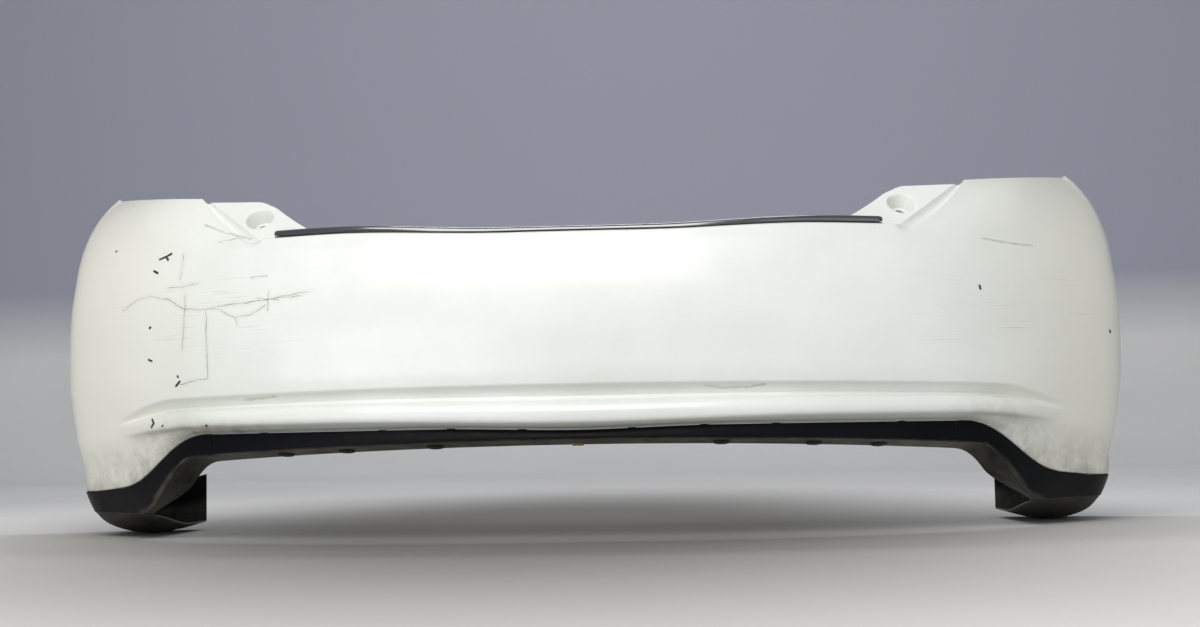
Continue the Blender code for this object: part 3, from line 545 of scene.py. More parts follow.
def right_half_columns():
    columns = [ledge_band(s) + face_rows(s) for s in LEDGE_COLUMNS]
    columns += [ear_band(s) + face_rows(s) for s in EAR_COLUMNS]
    inner, outer = columns[-1], shoulder_band(SHOULDER_FIRST) + face_rows(SHOULDER_FIRST)
    for i in range(1, RAMP_CELLS):
        w = i / RAMP_CELLS
        s = EAR_FOOT + (SHOULDER_FIRST - EAR_FOOT) * w
        column = []
        for j, (a, b) in enumerate(zip(inner, outer)):
            if j >= len(SHOULDER_SHARES):
                break
            share = 1.0 - j / len(SHOULDER_SHARES)
            sag = RAMP_SAG * 4.0 * w * (1.0 - w) * smooth(share * 3.0)
            column.append(a.lerp(b, w) - EAR_NORMAL * sag)
        columns.append(column + face_rows(s))
    columns += [shoulder_band(s) + face_rows(s) for s in SHOULDER_COLUMNS + SIDE_COLUMNS]
    edge = columns[-1]
    for width, forward in ((0.0012, 0.0010), (0.0040, 0.0015), (0.0100, 0.0015),
                           (ARCH_FLANGE, 0.0015)):
        moved = [p - plan_normal(p.y) * width + Vector((0.0, forward, 0.0)) for p in edge[:-4]]
        columns.append(moved + [None] * 4)
    return columns


def ear_rings():
    """Rings of the ear and its screw cup, from the ear's border in to the screw hole."""
    n = EAR_CELLS
    border = [(i, 0) for i in range(n)] + [(n, j) for j in range(n)]
    border += [(n - i, n) for i in range(n)] + [(0, n - j) for j in range(n)]
    outer = [ear_grid_point(i / n, j / n) for i, j in border]
    centre = ear_point(CUP_CENTRE_X, CUP_Z)
    along = Vector((1.0, 0.0, 0.0))
    along = (along - EAR_NORMAL * along.dot(EAR_NORMAL)).normalized()
    across = EAR_NORMAL.cross(along)
    angles = [math.atan2((p - centre).dot(across), (p - centre).dot(along)) for p in outer]

    def circle(radius, depth):
        return [centre + (along * math.cos(a) + across * math.sin(a)) * radius - EAR_NORMAL * depth
                for a in angles]

    rim = circle(CUP_RADIUS + 0.0022, 0.0)
    rings = [outer]
    for share in (0.12, 0.28, 0.46, 0.64, 0.82):
        rings.append([a.lerp(b, share) for a, b in zip(outer, rim)])
    rings.append(rim)
    for radius, depth in ((0.0012, 0.00015), (0.0005, 0.0006), (0.0001, 0.0014)):
        rings.append(circle(CUP_RADIUS + radius, depth))
    for step in range(1, 37):
        share = step / 36
        rib = 0.00022 if step % 4 < 2 else -0.00022
        rings.append(circle(CUP_RADIUS + (CUP_FLOOR_RADIUS - CUP_RADIUS) * share + rib,
                            0.0014 + (CUP_DEPTH - 0.0030) * share))
    for radius, depth in ((CUP_FLOOR_RADIUS - 0.0004, 0.0008), (CUP_FLOOR_RADIUS - 0.0016, 0.0),
                          (0.0100, 0.0), (0.0070, 0.0), (CUP_HOLE_RADIUS, 0.0)):
        rings.append(circle(radius, CUP_DEPTH - depth))
    return rings


def mirrored(point):
    return Vector((-point.x, point.y, point.z))


def to_part_frame(point):
    """Move a point so that the seat under the ledge is at zero."""
    return Vector((point.x, point.y - SEAT_FORWARD, point.z + WALL))


def sheet_piece(name, columns, is_open, extra, wall, material, marks=None):
    """A sheet from columns of points, given its wall on the inner side and rounded rims."""
    places, faces, known = [], [], {}

    def index(point):
        key = (round(point.x, 6), round(point.y, 6), round(point.z, 6))
        if key not in known:
            known[key] = len(places)
            places.append(to_part_frame(point))
        return known[key]

    for i in range(len(columns) - 1):
        left, right = columns[i], columns[i + 1]
        for j in range(min(len(left), len(right)) - 1):
            quad = (left[j], left[j + 1], right[j + 1], right[j])
            if is_open(i, j) or any(p is None for p in quad):
                continue
            faces.append([index(p) for p in quad])
    for quad in extra:
        faces.append([index(p) for p in quad])
    faces = [f for f in faces if len(set(f)) > 2]
    faces = [list(dict.fromkeys(f)) for f in faces]
    mesh = bpy.data.meshes.new(name)
    mesh.from_pydata(places, [], faces)
    mesh.validate()
    mesh.materials.append(material)
    for label, value in (marks or {}).items():
        layer = mesh.attributes.new(label, "FLOAT", "POINT")
        layer.data.foreach_set("value", [value(v.co) for v in mesh.vertices])
    piece = bpy.data.objects.new(name, mesh)
    bpy.context.scene.collection.objects.link(piece)
    bpy.ops.object.select_all(action="DESELECT")
    piece.select_set(True)
    bpy.context.view_layer.objects.active = piece
    solid = piece.modifiers.new("wall", "SOLIDIFY")
    solid.thickness = wall
    solid.offset = -1.0
    solid.use_even_offset = True
    solid.use_quality_normals = True
    solid.thickness_clamp = 1.0
    bpy.ops.object.modifier_apply(modifier="wall")
    rim = piece.modifiers.new("rim", "BEVEL")
    rim.width = wall * 0.22
    rim.segments = 2
    rim.limit_method = "ANGLE"
    rim.angle_limit = math.radians(62)
    bpy.ops.object.modifier_apply(modifier="rim")
    bpy.ops.object.shade_smooth_by_angle(angle=math.radians(38))
    return piece


def both_sides(columns):
    left = [[None if p is None else mirrored(p) for p in column] for column in columns[:0:-1]]
    return left + columns


def ring_quads(rings):
    quads = []
    for outer, inner in zip(rings, rings[1:]):
        for i in range(len(outer)):
            k = (i + 1) % len(outer)
            quads.append((outer[i], outer[k], inner[k], inner[i]))
    return quads


# Damage to the enamel, as runs of (x, z) points in metres seen from behind. First the hairline
# cracks that spread from two impacts, then the chips that go down to the black primer.
CRACKS = (
    ((-0.70, -0.078), (-0.672, -0.065), (-0.645, -0.062), (-0.612, -0.070), (-0.582, -0.086),
     (-0.543, -0.088), (-0.520, -0.091), (-0.496, -0.104), (-0.470, -0.101), (-0.447, -0.088)),
    ((-0.582, -0.062), (-0.584, -0.146)),
    ((-0.545, -0.088), (-0.540, -0.190), (-0.590, -0.196)),
    ((-0.543, -0.088), (-0.500, -0.084), (-0.442, -0.081), (-0.377, -0.071)),
    ((-0.460, -0.078), (-0.424, -0.083)),
    ((-0.442, -0.070), (-0.443, -0.096)),
    ((-0.442, -0.081), (-0.390, -0.077)),
    ((-0.496, -0.104), (-0.492, -0.114)),
    ((-0.590, -0.002), (-0.593, -0.040)),
    ((-0.615, -0.052), (-0.560, -0.050)),
)
CHIPS = (
    ((-0.636, -0.006), (-0.612, 0.001)), ((-0.622, -0.004), (-0.618, -0.007)),
    ((-0.645, -0.022), (-0.637, -0.026)), ((-0.594, -0.184), (-0.593, -0.186)),
    ((-0.590, -0.192), (-0.596, -0.199)), ((-0.640, -0.246), (-0.636, -0.252)),
    ((-0.636, -0.252), (-0.641, -0.258)), ((-0.620, -0.257), (-0.619, -0.257)),
    ((-0.725, 0.017), (-0.724, 0.017)), ((0.578, -0.078), (0.579, -0.083)),
    ((-0.646, -0.109), (-0.644, -0.109)), ((0.802, -0.136), (0.803, -0.139)),
    ((-0.543, -0.259), (-0.542, -0.259)), ((-0.648, -0.158), (-0.642, -0.160)),
)
# Scuff lines. The run from (-0.560, 0.043) by the left ear is painted shade that stands in for the crease of a
# dent.
SCUFFS_AND_DENT_SHADE = (
    ((0.179, -0.2180), (0.205, -0.2205), (0.235, -0.2195), (0.261, -0.2170)),
    ((-0.480, -0.222), (-0.430, -0.220)),
    ((-0.470, -0.046), (-0.445, -0.045)),
    ((0.672, -0.014), (0.590, -0.007)),
    ((-0.560, 0.043), (-0.520, 0.026), (-0.480, 0.014)),
    ((-0.530, 0.012), (-0.490, 0.017)),
)


def distance_to(tree, flat, runs):
    """Distance to the nearest of the given runs of (x, z) points."""
    nearest = None
    for run in runs:
        for (ax, az), (bx, bz) in zip(run, run[1:]):
            start, way = Vector((ax, 0.0, az)), Vector((bx - ax, 0.0, bz - az))
            from_start = add(tree, "VectorMath", {"operation": "SUBTRACT"}, n0=flat, n1=start)
            along = add(tree, "VectorMath", {"operation": "DOT_PRODUCT"},
                        n0=from_start.outputs["Vector"], n1=way / way.length_squared)
            share = add(tree, "Math", {"operation": "MULTIPLY", "use_clamp": True},
                        n0=along.outputs["Value"], n1=1.0)
            reached = add(tree, "VectorMath", {"operation": "SCALE"}, n0=way,
                          Scale=share.outputs[0])
            apart = add(tree, "VectorMath", {"operation": "DISTANCE"},
                        n0=from_start.outputs["Vector"], n1=reached.outputs["Vector"])
            away = apart.outputs["Value"]
            if nearest is None:
                nearest = away
            else:
                nearest = add(tree, "Math", {"operation": "MINIMUM"}, n0=nearest,
                              n1=away).outputs[0]
    return nearest


def within(tree, distance, width):
    """1 up to a width, fading out over as much again."""
    return add(tree, "MapRange", Value=distance, From_Min=width, From_Max=2.0 * width,
               To_Min=1.0, To_Max=0.0).outputs["Result"]


def blend(tree, amount, under, over):
    """Mix a colour over another by an amount."""
    return add(tree, "Mix", {"data_type": "RGBA"}, n0=amount, n6=under, n7=over).outputs[2]


def product(tree, a, b):
    return add(tree, "Math", {"operation": "MULTIPLY", "use_clamp": True}, n0=a,
               n1=b).outputs[0]


def paint_material():
    """White pearl enamel under clear lacquer on polypropylene, sprayed and baked: deep gloss."""
    material, tree, shader = start_material("pearl_white_enamel")
    place = object_place(tree)
    broad = add(tree, "TexNoise", Vector=place, Scale=3.2, Detail=5.0, Roughness=0.6)
    tone = ramp(tree, broad.outputs["Fac"], ((0.35, srgb("E6EBE4")), (0.62, srgb("EFF3EE"))))
    yellow = add(tree, "Attribute", {"attribute_name": "yellowing"}).outputs["Fac"]
    tone = blend(tree, yellow, tone, srgb("E8E6D8"))

    # road dirt: speckled, thickest in the corners above the trims
    grime = add(tree, "Attribute", {"attribute_name": "grime"}).outputs["Fac"]
    speckle = add(tree, "TexNoise", Vector=place, Scale=38.0, Detail=8.0, Roughness=0.68)
    patch = add(tree, "Math", {"operation": "MULTIPLY_ADD"}, n0=speckle.outputs["Fac"],
                n1=2.0, n2=-0.66)
    tone = blend(tree, product(tree, patch.outputs[0], grime), tone, srgb("7F7A66"))
    tone = blend(tree, product(tree, grime, 0.10), tone, srgb("8A8878"))

    # fine horizontal rubbing marks near the worst damage
    stretched = add(tree, "Mapping", Vector=place, Scale=(9.0, 1.0, 420.0)).outputs["Vector"]
    streaks = add(tree, "TexNoise", Vector=stretched, Scale=1.0, Detail=3.0)
    streak = add(tree, "MapRange", Value=streaks.outputs["Fac"], From_Min=0.60,
                 From_Max=0.74).outputs["Result"]
    rubbed = add(tree, "Attribute", {"attribute_name": "rubbed"}).outputs["Fac"]
    tone = blend(tree, product(tree, streak, rubbed), tone, srgb("A9A591"))

    # cracks, chips, scuffs and the painted shade of a dent wander a little from their straight runs
    wander = add(tree, "TexNoise", Vector=place, Scale=34.0, Detail=5.0)
    offset = add(tree, "VectorMath", {"operation": "MULTIPLY_ADD"},
                 n0=wander.outputs["Color"], n1=(0.008, 0.0, 0.008), n2=(-0.004, 0.0, -0.004))
    moved = add(tree, "VectorMath", {"operation": "ADD"}, n0=place,
                n1=offset.outputs["Vector"])
    flat = add(tree, "VectorMath", {"operation": "MULTIPLY"}, n0=moved.outputs["Vector"],
               n1=(1.0, 0.0, 1.0)).outputs["Vector"]
    behind = add(tree, "MapRange", From_Min=0.30, From_Max=0.26,
                 Value=add(tree, "SeparateXYZ", Vector=place).outputs["Y"]).outputs["Result"]
    to_crack = distance_to(tree, flat, CRACKS)
    haze = product(tree, within(tree, to_crack, 0.0030), behind)
    tone = blend(tree, product(tree, haze, 0.07), tone, srgb("9C946F"))
    crack = product(tree, within(tree, to_crack, 0.00032), behind)
    faded = add(tree, "MapRange", Value=speckle.outputs["Fac"], From_Min=0.36,
                From_Max=0.60, To_Min=0.12, To_Max=0.90).outputs["Result"]
    tone = blend(tree, product(tree, crack, faded), tone, srgb("5B5646"))
    # Scuffs darken the enamel; by the left ear this darkening is painted shade for a dent's crease.
    scuff_and_dent_shade = product(tree, within(tree, distance_to(tree, flat, SCUFFS_AND_DENT_SHADE), 0.0010), behind)
    tone = blend(tree, product(tree, scuff_and_dent_shade, product(tree, faded, 0.50)), tone, srgb("6F6B58"))
    chip = product(tree, within(tree, distance_to(tree, flat, CHIPS), 0.0011), behind)
    tone = blend(tree, chip, tone, srgb("14130F"))

    fine = add(tree, "TexNoise", Vector=place, Scale=420.0, Detail=2.0)
    peel = add(tree, "Bump", Strength=0.02, Distance=0.0004, Height=fine.outputs["Fac"])
    rough = add(tree, "MapRange", Value=broad.outputs["Fac"], From_Min=0.3, From_Max=0.7,
                To_Min=0.34, To_Max=0.46).outputs["Result"]
    rough = add(tree, "Math", {"operation": "MULTIPLY_ADD"}, n0=grime, n1=0.25, n2=rough)
    set_inputs(tree, shader, Base_Color=tone, Roughness=rough.outputs[0],
               Normal=peel.outputs["Normal"], IOR=1.5, Coat_Weight=0.55, Coat_Roughness=0.16,
               Coat_IOR=1.5)
    return material


def grime_amount(co):
    """Road dirt gathers along the painted lower edge and in its corners."""
    x, z = abs(co.x), co.z - WALL
    s = min(x, SIDE_X)
    above = z - paint_z(s)
    corner = smooth((x - 0.46) / 0.20)
    low = (1.0 - smooth(above / (0.016 + 0.065 * corner))) * (0.12 + 0.68 * corner)
    seam = 0.8 * math.exp(-((co.x + 0.50) / 0.09) ** 2) * (1.0 - smooth(above / 0.024))
    return min(low + seam, 1.0)


def yellow_amount(co):
    """The lacquer has yellowed towards both ends."""
    return 0.70 * smooth((abs(co.x) - 0.45) / 0.35)


def rubbed_amount(co):
    """Rubbing marks lie around the cracks on the left and faintly on the right."""
    x, z = co.x, co.z - WALL
    left = math.exp(-((x + 0.54) / 0.12) ** 2 - ((z + 0.095) / 0.06) ** 2)
    right = math.exp(-((x - 0.62) / 0.14) ** 2 - ((z + 0.12) / 0.08) ** 2)
    return min(0.75 * left + 0.35 * right, 1.0)


half = right_half_columns()
cover_columns = both_sides(half)
middle_column = len(half) - 1
ear_first = len(LEDGE_COLUMNS)


def cover_is_open(i, j):
    cell = i - middle_column if i >= middle_column else middle_column - 1 - i
    return j < EAR_CELLS and ear_first - 1 <= cell < ear_first + EAR_CELLS


ear_quads = ring_quads(ear_rings())
ear_quads += [[mirrored(p) for p in reversed(quad)] for quad in ring_quads(ear_rings())]
paint = paint_material()
cover = sheet_piece("painted_cover", cover_columns, cover_is_open, ear_quads, WALL, paint,
                    {"grime": grime_amount, "yellowing": yellow_amount, "rubbed": rubbed_amount})
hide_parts("bumper_cover")
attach(cover, "cover_assembly")


# ---------------------------------------------------------------------------
# Lower trims: a centre strip and two corner mouldings in grained black
# polypropylene. Each has a wing under the painted lip, a face and a flange.
# ---------------------------------------------------------------------------
TRIM_WALL = 0.0025
FIT_GAP = 0.0006
SEAM = from_side(0.319)
SEAM_GAP = 0.0010
TRIM_FLANGE = 0.045
TRIM_FLANGE_SLOPE = 0.16
UNDERSIDE_INNER = from_side(0.202)
UNDERSIDE_SAG = 0.034
UNDERSIDE_SECTION = ((0.10, 0.62), (0.33, 1.00), (0.70, 1.00), (1.00, 0.62))
END_WALL = 0.080
CLIP_STATIONS = [SEAM - distance for distance in (0.107, 0.205, 0.340)]
CLIP_HOLE = 0.0090
CLIP_HOLE_FORWARD = 0.0255


def trim_z(s):
    """Height of the trims' lower edge."""
    reach = min(s, from_side(0.172))
    drop = smoother((s - from_side(0.299)) / (0.299 - 0.172))
    return -FACE_HEIGHT + 0.002 - 0.014 - 0.009 * (reach / 0.44) ** 2 - 0.078 * drop


def underside_target(s):
    """Inner end of the underside at a station past the drop."""
    front_span = SIDE_X - UNDERSIDE_INNER
    reach = s - UNDERSIDE_INNER if s <= SIDE_X else front_span + (s - SIDE_X) * 0.20
    share = min(max(reach / (front_span + 0.20), 0.0), 1.0)
    y = plan_y(UNDERSIDE_INNER) + TRIM_FLANGE + 0.005
    end_y = arch_y(trim_z(SIDE_X)) + 0.022
    return Vector((UNDERSIDE_INNER, y + (end_y - y) * share, 0.0))


def trim_column(s):
    """Section of the trims: wing, face, rounded lower edge and underside."""
    low = trim_z(s)
    low_inset = 0.0125 + 0.0255 * smooth((s - from_side(0.264)) / 0.180)
    wing = paint_z(s) - FIT_GAP
    lip = lip_inset(s)
    points = [face_point(s, wing, lip + back) for back in (LIP_DEPTH, 0.009, 0.0024, 0.0010)]
    points.append(face_point(s, wing - 0.0005, lip + 0.0002))
    for i in range(8):
        share = i / 7
        z = (wing - 0.0016) * (1.0 - share) + (low + 0.0028) * share
        inset = lip * (1.0 - share) + low_inset * share - 0.0006 * 4.0 * share * (1.0 - share)
        points.append(face_point(s, z, inset))
    points.append(face_point(s, low + 0.0010, low_inset + 0.0006))
    edge = face_point(s, low, low_inset + 0.0025)
    start = low_inset + 0.0025
    hole = start + CLIP_HOLE_FORWARD
    insets = (start + 0.008, hole - CLIP_HOLE / 2.0, hole + CLIP_HOLE / 2.0, start + TRIM_FLANGE)
    blend = smooth((s - from_side(0.244)) / 0.060)
    target = underside_target(s)
    run = [edge]
    for inset, (share, belly) in zip(insets, UNDERSIDE_SECTION):
        flange = face_point(s, low - TRIM_FLANGE_SLOPE * (inset - start), inset)
        panel = edge + (target - edge) * share
        deep = smooth((panel.y - SIDE_Y + 0.08) / 0.220)
        panel.z = low - 0.004 * share - UNDERSIDE_SAG * deep * belly
        run.append(flange.lerp(panel, blend))
    return points + smooth_run(run, (3, 5, 4, 5))


UNDERSIDE_FIRST = 14
HOLE_ROWS = range(UNDERSIDE_FIRST + 8, UNDERSIDE_FIRST + 12)


def plastic_material(name, dark, light, dust, dust_amount, gloss):
    """Black polypropylene moulded against an etched tool: fine grain, greyed by road dust."""
    material, tree, shader = start_material(name)
    place = object_place(tree)
    broad = add(tree, "TexNoise", Vector=place, Scale=9.0, Detail=6.0, Roughness=0.65)
    tone = ramp(tree, broad.outputs["Fac"], ((0.35, srgb(dark)), (0.70, srgb(light))))
    smear = add(tree, "TexNoise", Vector=place, Scale=26.0, Detail=9.0, Roughness=0.7)
    down = add(tree, "Attribute", {"attribute_name": "dust"}).outputs["Fac"]
    spread_out = add(tree, "MapRange", Value=smear.outputs["Fac"], From_Min=0.38,
                     From_Max=0.66, To_Min=0.25, To_Max=1.0).outputs["Result"]
    amount = add(tree, "Math", {"operation": "MULTIPLY"}, n0=down, n1=spread_out)
    amount = add(tree, "Math", {"operation": "MULTIPLY"}, n0=amount.outputs[0], n1=dust_amount)
    tone = add(tree, "Mix", {"data_type": "RGBA"}, n0=amount.outputs[0], n6=tone, n7=srgb(dust))
    grain = add(tree, "TexVoronoi", Vector=place, Scale=620.0)
    pits = add(tree, "Bump", Strength=0.25, Distance=0.0004, Height=grain.outputs["Distance"])
    rough = add(tree, "MapRange", Value=smear.outputs["Fac"], From_Min=0.3, From_Max=0.7,
                To_Min=gloss, To_Max=gloss + 0.16)
    set_inputs(tree, shader, Base_Color=tone.outputs[2], Roughness=rough.outputs["Result"],
               Normal=pits.outputs["Normal"], IOR=1.49, Specular_IOR_Level=0.10)
    return material


def dust_amount(co):
    """Dust lies on the undersides, thickest in the middle of the car."""
    z = co.z - WALL
    under = smooth((trim_z(min(abs(co.x), SIDE_X)) + 0.0015 - z) / 0.002)
    return under * (1.0 - 0.70 * smooth((abs(co.x) - 0.50) / 0.10))


trim_plastic = plastic_material("grained_black_polypropylene", "050609", "0C0D10", "8C8A7E", 0.9,
                                0.34)
holes = [(s - CLIP_HOLE / 2.0, s + CLIP_HOLE / 2.0) for s in CLIP_STATIONS]
centre_stations = [s for s in spread(0.0, SEAM - SEAM_GAP / 2.0, 90)
                   if not any(low - 0.001 < s < high + 0.001 for low, high in holes)]
centre_stations = sorted(centre_stations + [edge for hole in holes for edge in hole])
hole_cells = [centre_stations.index(low) for low, high in holes]
centre_columns = both_sides([trim_column(s) for s in centre_stations])
centre_middle = len(centre_stations) - 1


def centre_is_open(i, j):
    cell = i - centre_middle if i >= centre_middle else centre_middle - 1 - i
    return cell in hole_cells and j in HOLE_ROWS


centre_trim = sheet_piece("centre_trim", centre_columns, centre_is_open, [], TRIM_WALL,
                          trim_plastic, {"dust": dust_amount})
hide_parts("lower_trim_centre")
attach(centre_trim, "cover_assembly")

corner_columns = [trim_column(s) for s in spread(SEAM + SEAM_GAP / 2.0, SIDE_X, 60)]
corner_columns += [trim_column(SIDE_X + m) for m in spread(0.0, 1.0, 24)[1:]]
last_rows = UNDERSIDE_FIRST + 4
corner_end = corner_columns[-1][last_rows:]
for rise in (0.0010, 0.0040, 0.0150, 0.0300, 0.0450, 0.0600, END_WALL):
    forward = 0.0015 * min(rise / 0.004, 1.0)
    corner_columns.append([None] * last_rows
                          + [p + Vector((0.0, forward, rise)) for p in corner_end])
left_columns = both_sides([corner_columns[0]] + corner_columns)[:len(corner_columns)]
for side, columns in (("right", corner_columns), ("left", left_columns)):
    corner_trim = sheet_piece(f"corner_trim_{side}", columns, lambda i, j: False, [], TRIM_WALL,
                              trim_plastic, {"dust": dust_amount})
    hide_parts(f"lower_trim_{side}")
    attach(corner_trim, "cover_assembly")


# ---------------------------------------------------------------------------
# Step strip: an extruded rubber strip with rounded ends on the ledge's edge,
# and the foam tape that sticks it down.
# ---------------------------------------------------------------------------
TAPE_THICKNESS = 0.0008
STRIP_STATIONS = spread(0.0, STRIP_END - 0.006, 70)


def strip_piece(name, section, base, height_at, material):
    """A bar along the ledge. section gives the ring's (depth, height) shares."""
    half_rings = []
    for s in STRIP_STATIONS:
        half_rings.append((s, 1.0))
    for turn in (0.25, 0.5, 0.72, 0.88, 0.97, 1.0):
        half_rings.append((STRIP_END - 0.006 + 0.006 * math.sin(turn * math.pi / 2.0),
                           max(math.cos(turn * math.pi / 2.0), 0.12)))
    rings = []
    for s, size in half_rings:
        z = ledge_z(s) + base
        middle_depth = EDGE_INSET + 0.0015 + STRIP_DEPTH / 2.0
        ring = []
        for depth, height in section:
            tall = height_at(s)
            lifted = tall * 0.5 + (height - 0.5) * tall * (0.35 + 0.65 * size)
            lean = 0.0012 * height * (1.0 - depth) / 2.0 * (1.0 - smooth((s - 0.12) / 0.25))
            ring.append(face_point(s, z + lifted, middle_depth + lean
                                   + depth * STRIP_DEPTH / 2.0 * size))
        rings.append(ring)
    rings = both_sides(rings)
    places, faces = [], []
    for ring in rings:
        places += [to_part_frame(p) for p in ring]
    count = len(section)
    for a in range(len(rings) - 1):
        for i in range(count):
            k = (i + 1) % count
            faces.append((a * count + i, a * count + k, (a + 1) * count + k, (a + 1) * count + i))
    faces.append(tuple(range(count))[::-1])
    faces.append(tuple(range((len(rings) - 1) * count, len(rings) * count)))
    mesh = bpy.data.meshes.new(name)
    mesh.from_pydata(places, [], faces)
    mesh.materials.append(material)
    piece = bpy.data.objects.new(name, mesh)
    bpy.context.scene.collection.objects.link(piece)
    bpy.ops.object.select_all(action="DESELECT")
    piece.select_set(True)
    bpy.context.view_layer.objects.active = piece
    bpy.ops.object.mode_set(mode="EDIT")
    bpy.ops.mesh.select_all(action="SELECT")
    bpy.ops.mesh.normals_make_consistent(inside=False)
    bpy.ops.object.mode_set(mode="OBJECT")
    bpy.ops.object.shade_smooth_by_angle(angle=math.radians(50))
    return piece


# EPDM rubber, extruded, with a slip coating: smooth glossy black that greys as it ages.
rubber, tree, shader = start_material("extruded_epdm_rubber")
aged = add(tree, "TexNoise", Vector=object_place(tree), Scale=14.0, Detail=5.0)
set_inputs(tree, shader, Base_Color=ramp(tree, aged.outputs["Fac"],
                                         ((0.35, srgb("26262A")), (0.7, srgb("35353A")))),
           Roughness=0.22, IOR=1.60, Coat_Weight=1.0, Coat_Roughness=0.10, Coat_IOR=1.9)

# Closed-cell foam tape: matt dark grey with fine open pores.
foam, tree, shader = start_material("closed_cell_foam_tape")
pores = add(tree, "TexVoronoi", Vector=object_place(tree), Scale=900.0)
dents = add(tree, "Bump", Strength=0.4, Distance=0.0003, Height=pores.outputs["Distance"])
set_inputs(tree, shader, Base_Color=ramp(tree, pores.outputs["Distance"],
                                         ((0.1, srgb("2A2A2A")), (0.7, srgb("454545")))),
           Roughness=0.9, Normal=dents.outputs["Normal"])

DOMED = [(-1.0, 0.0), (-1.0, 0.35)]
DOMED += [(-math.cos(math.radians(degrees)), 0.45 + 0.55 * math.sin(math.radians(degrees)))
          for degrees in range(15, 180, 15)]
DOMED += [(1.0, 0.35), (1.0, 0.0)]
strip_base = FIT_GAP + TAPE_THICKNESS + FIT_GAP
strip = strip_piece("step_strip", DOMED, strip_base,
                    lambda s: 0.0055 + 0.0030 * smooth(s / STRIP_END), rubber)
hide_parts("top_strip")
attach(strip, "cover_assembly")
FLAT = [(-0.7, 0.0), (-0.7, 1.0), (0.7, 1.0), (0.7, 0.0)]
tape = strip_piece("strip_tape", FLAT, FIT_GAP, lambda s: TAPE_THICKNESS, foam)
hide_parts("top_strip_tape")
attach(tape, "cover_assembly")


# ---------------------------------------------------------------------------
# Turned fasteners: nylon push clips with their pins, and the plated steel
# collars in the screw cups. Each is spun from its section.
# ---------------------------------------------------------------------------
def turned_piece(name, section, node, axis, material):
    """A solid spun from (radius, height) points, its heights measured from the node's outer end."""
    places = [v.co for v in nodes[node].data.vertices]
    on_axis = sum(places, Vector()) / len(places)
    top = max((p - on_axis).dot(axis) for p in places)
    mesh = bpy.data.meshes.new(name)
    points = [(radius, 0.0, height) for radius, height in section]
    mesh.from_pydata(points, [(i, i + 1) for i in range(len(points) - 1)], [])
    piece = bpy.data.objects.new(name, mesh)
    bpy.context.scene.collection.objects.link(piece)
    bpy.ops.object.select_all(action="DESELECT")
    piece.select_set(True)
    bpy.context.view_layer.objects.active = piece
    bpy.ops.object.mode_set(mode="EDIT")
    bpy.ops.mesh.select_all(action="SELECT")
    bpy.ops.mesh.spin(steps=40, angle=2.0 * math.pi, center=(0.0, 0.0, 0.0), axis=(0.0, 0.0, 1.0))
    bpy.ops.mesh.select_all(action="SELECT")
    bpy.ops.mesh.remove_doubles(threshold=0.00002)
    bpy.ops.mesh.normals_make_consistent(inside=False)
    bpy.ops.object.mode_set(mode="OBJECT")
    turn = axis.to_track_quat("Z", "Y").to_matrix().to_4x4()
    piece.data.transform(Matrix.Translation(on_axis + axis * top) @ turn)
    piece.data.materials.append(material)
    bpy.ops.object.shade_smooth_by_angle(angle=math.radians(35))
    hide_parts(node)
    return piece


# Nylon 66, injection moulded: dull black with a faint orange-peel skin.
nylon, tree, shader = start_material("moulded_black_nylon")
skin = add(tree, "TexNoise", Vector=object_place(tree), Scale=300.0, Detail=3.0)
peel = add(tree, "Bump", Strength=0.15, Distance=0.0003, Height=skin.outputs["Fac"])
set_inputs(tree, shader, Base_Color=ramp(tree, skin.outputs["Fac"],
                                         ((0.35, srgb("0C0C0E")), (0.7, srgb("1A1A1C")))),
           Roughness=0.5, Normal=peel.outputs["Normal"], IOR=1.53)

# Zinc-plated steel, barrel plated and gone dull: a cool grey with light blotches.
plated, tree, shader = start_material("dull_zinc_plated_steel")
blotch = add(tree, "TexNoise", Vector=object_place(tree), Scale=260.0, Detail=5.0)
set_inputs(tree, shader, Base_Color=ramp(tree, blotch.outputs["Fac"],
                                         ((0.35, srgb("8C8B87")), (0.65, srgb("C4C3BE")))),
           Metallic=1.0, Roughness=0.38)

CLIP_HEAD_RADIUS = 0.0120
CLIP_BODY = [(0.0023, -0.0150), (0.0028, -0.0150), (0.0037, -0.0105), (0.0033, -0.0098),
             (0.0037, -0.0080), (0.0033, -0.0073), (0.0037, -0.0055), (0.0037, -0.0024),
             (CLIP_HEAD_RADIUS - 0.0004, -0.0024), (CLIP_HEAD_RADIUS, -0.0020),
             (CLIP_HEAD_RADIUS, -0.0014), (CLIP_HEAD_RADIUS - 0.0009, -0.0004),
             (CLIP_HEAD_RADIUS - 0.0022, 0.0), (0.0054, 0.0), (0.0050, -0.0003), (0.0050, -0.0017),
             (0.0023, -0.0017), (0.0023, -0.0150)]
CLIP_PIN = [(0.0, -0.0160), (0.0012, -0.0158), (0.0018, -0.0148), (0.0018, -0.0016),
            (0.0042, -0.0014), (0.0045, -0.0011), (0.0045, -0.0006), (0.0040, -0.0002),
            (0.0022, 0.0), (0.0018, -0.0005), (0.0, -0.0006)]
for joint in frame["joints"]:
    pin = frame["record"]["behaviour"]["bodies"][joint["child"]][0]
    place = pin[len("clip_pin_"):]
    axis = Vector(joint["axis"]).normalized()
    piece = turned_piece(f"push_pin_{place}", CLIP_PIN, pin, axis, nylon)
    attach(piece, joint["child"])
    piece = turned_piece(f"clip_body_{place}", CLIP_BODY, f"push_clip_{place}", axis, nylon)
    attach(piece, "cover_assembly")

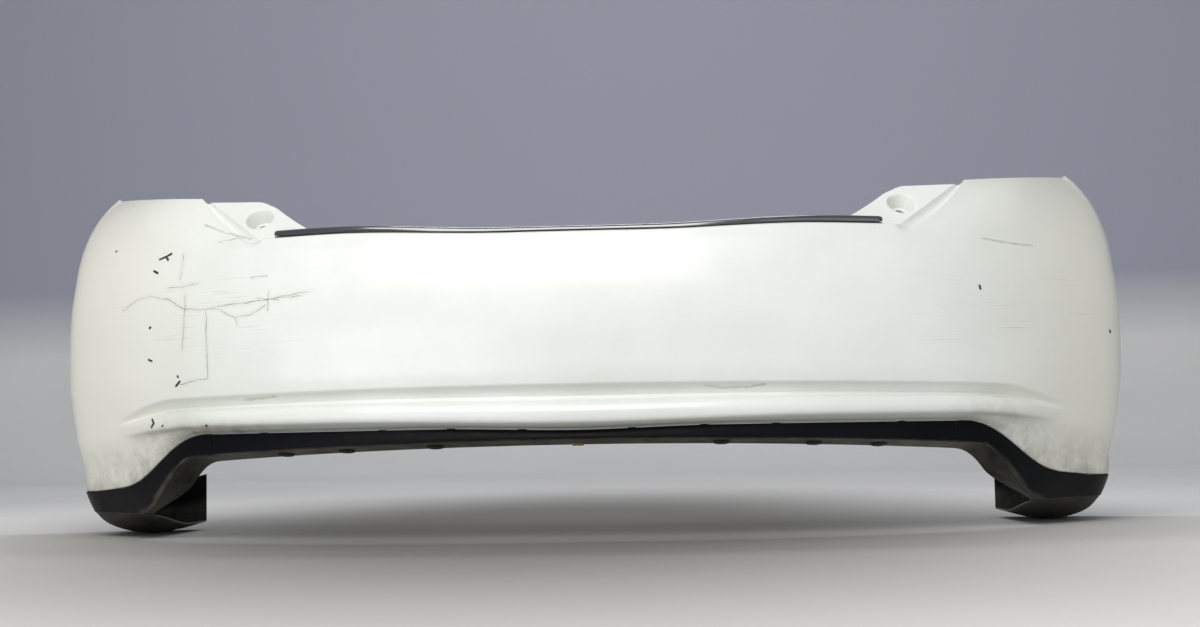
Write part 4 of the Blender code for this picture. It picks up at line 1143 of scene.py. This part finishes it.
COLLAR = [(0.0033, -0.0048), (0.0042, -0.0048), (0.0044, -0.0046), (0.0044, -0.0012),
          (0.0083, -0.0012), (0.0085, -0.0010), (0.0085, -0.0003), (0.0082, 0.0),
          (0.0036, 0.0), (0.0033, -0.0003), (0.0033, -0.0048)]
for side, sign in (("left", -1.0), ("right", 1.0)):
    axis = Vector((EAR_NORMAL.x * sign, EAR_NORMAL.y, EAR_NORMAL.z))
    piece = turned_piece(f"cup_bush_{side}", COLLAR, f"cup_collar_{side}", axis, plated)
    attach(piece, "cover_assembly")


# ---------------------------------------------------------------------------
# Folded fasteners: spring clips on the painted lip, and yellow-passivated nut
# clips on the flanges. Each is blanked from strip and folded over the edge.
# ---------------------------------------------------------------------------
# Spring steel, phosphated: dark grey, matt, with a slight oily mottle.
phosphated, tree, shader = start_material("phosphated_spring_steel")
mottle = add(tree, "TexNoise", Vector=object_place(tree), Scale=180.0, Detail=4.0)
set_inputs(tree, shader, Base_Color=ramp(tree, mottle.outputs["Fac"],
                                         ((0.35, srgb("3B3C3E")), (0.65, srgb("5A5B5E")))),
           Metallic=1.0, Roughness=0.5)

# Zinc plate with a yellow chromate finish: brassy, with a faint greenish tinge.
chromate, tree, shader = start_material("yellow_chromate_zinc")
tinge = add(tree, "TexNoise", Vector=object_place(tree), Scale=150.0, Detail=3.0)
set_inputs(tree, shader, Base_Color=ramp(tree, tinge.outputs["Fac"],
                                         ((0.3, srgb("B08B3E")), (0.5, srgb("C9A64F")),
                                          (0.7, srgb("B5A868")))),
           Metallic=1.0, Roughness=0.36)


def folded_piece(name, node, material):
    """The folded clip with its corners rounded, from a merged copy of the plain one."""
    mesh = nodes[node].data.copy()
    mesh.name = name
    piece = bpy.data.objects.new(name, mesh)
    bpy.context.scene.collection.objects.link(piece)
    mesh.materials.clear()
    mesh.materials.append(material)
    bpy.ops.object.select_all(action="DESELECT")
    piece.select_set(True)
    bpy.context.view_layer.objects.active = piece
    bpy.ops.object.mode_set(mode="EDIT")
    bpy.ops.mesh.select_all(action="SELECT")
    bpy.ops.mesh.remove_doubles(threshold=0.00002)
    bpy.ops.mesh.dissolve_limited(angle_limit=math.radians(2))
    bpy.ops.object.mode_set(mode="OBJECT")
    rounded = piece.modifiers.new("rounded", "BEVEL")
    rounded.width = 0.00028
    rounded.segments = 2
    bpy.ops.object.modifier_apply(modifier="rounded")
    bpy.ops.object.shade_smooth_by_angle(angle=math.radians(40))
    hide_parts(node)
    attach(piece, "cover_assembly")
    return piece


for node in sorted(nodes):
    if node.startswith("edge_clip"):
        folded_piece("spring_" + node, node, phosphated)
    if node.startswith("arch_nut") or node == "centre_nut_clip":
        folded_piece("folded_" + node, node, chromate)
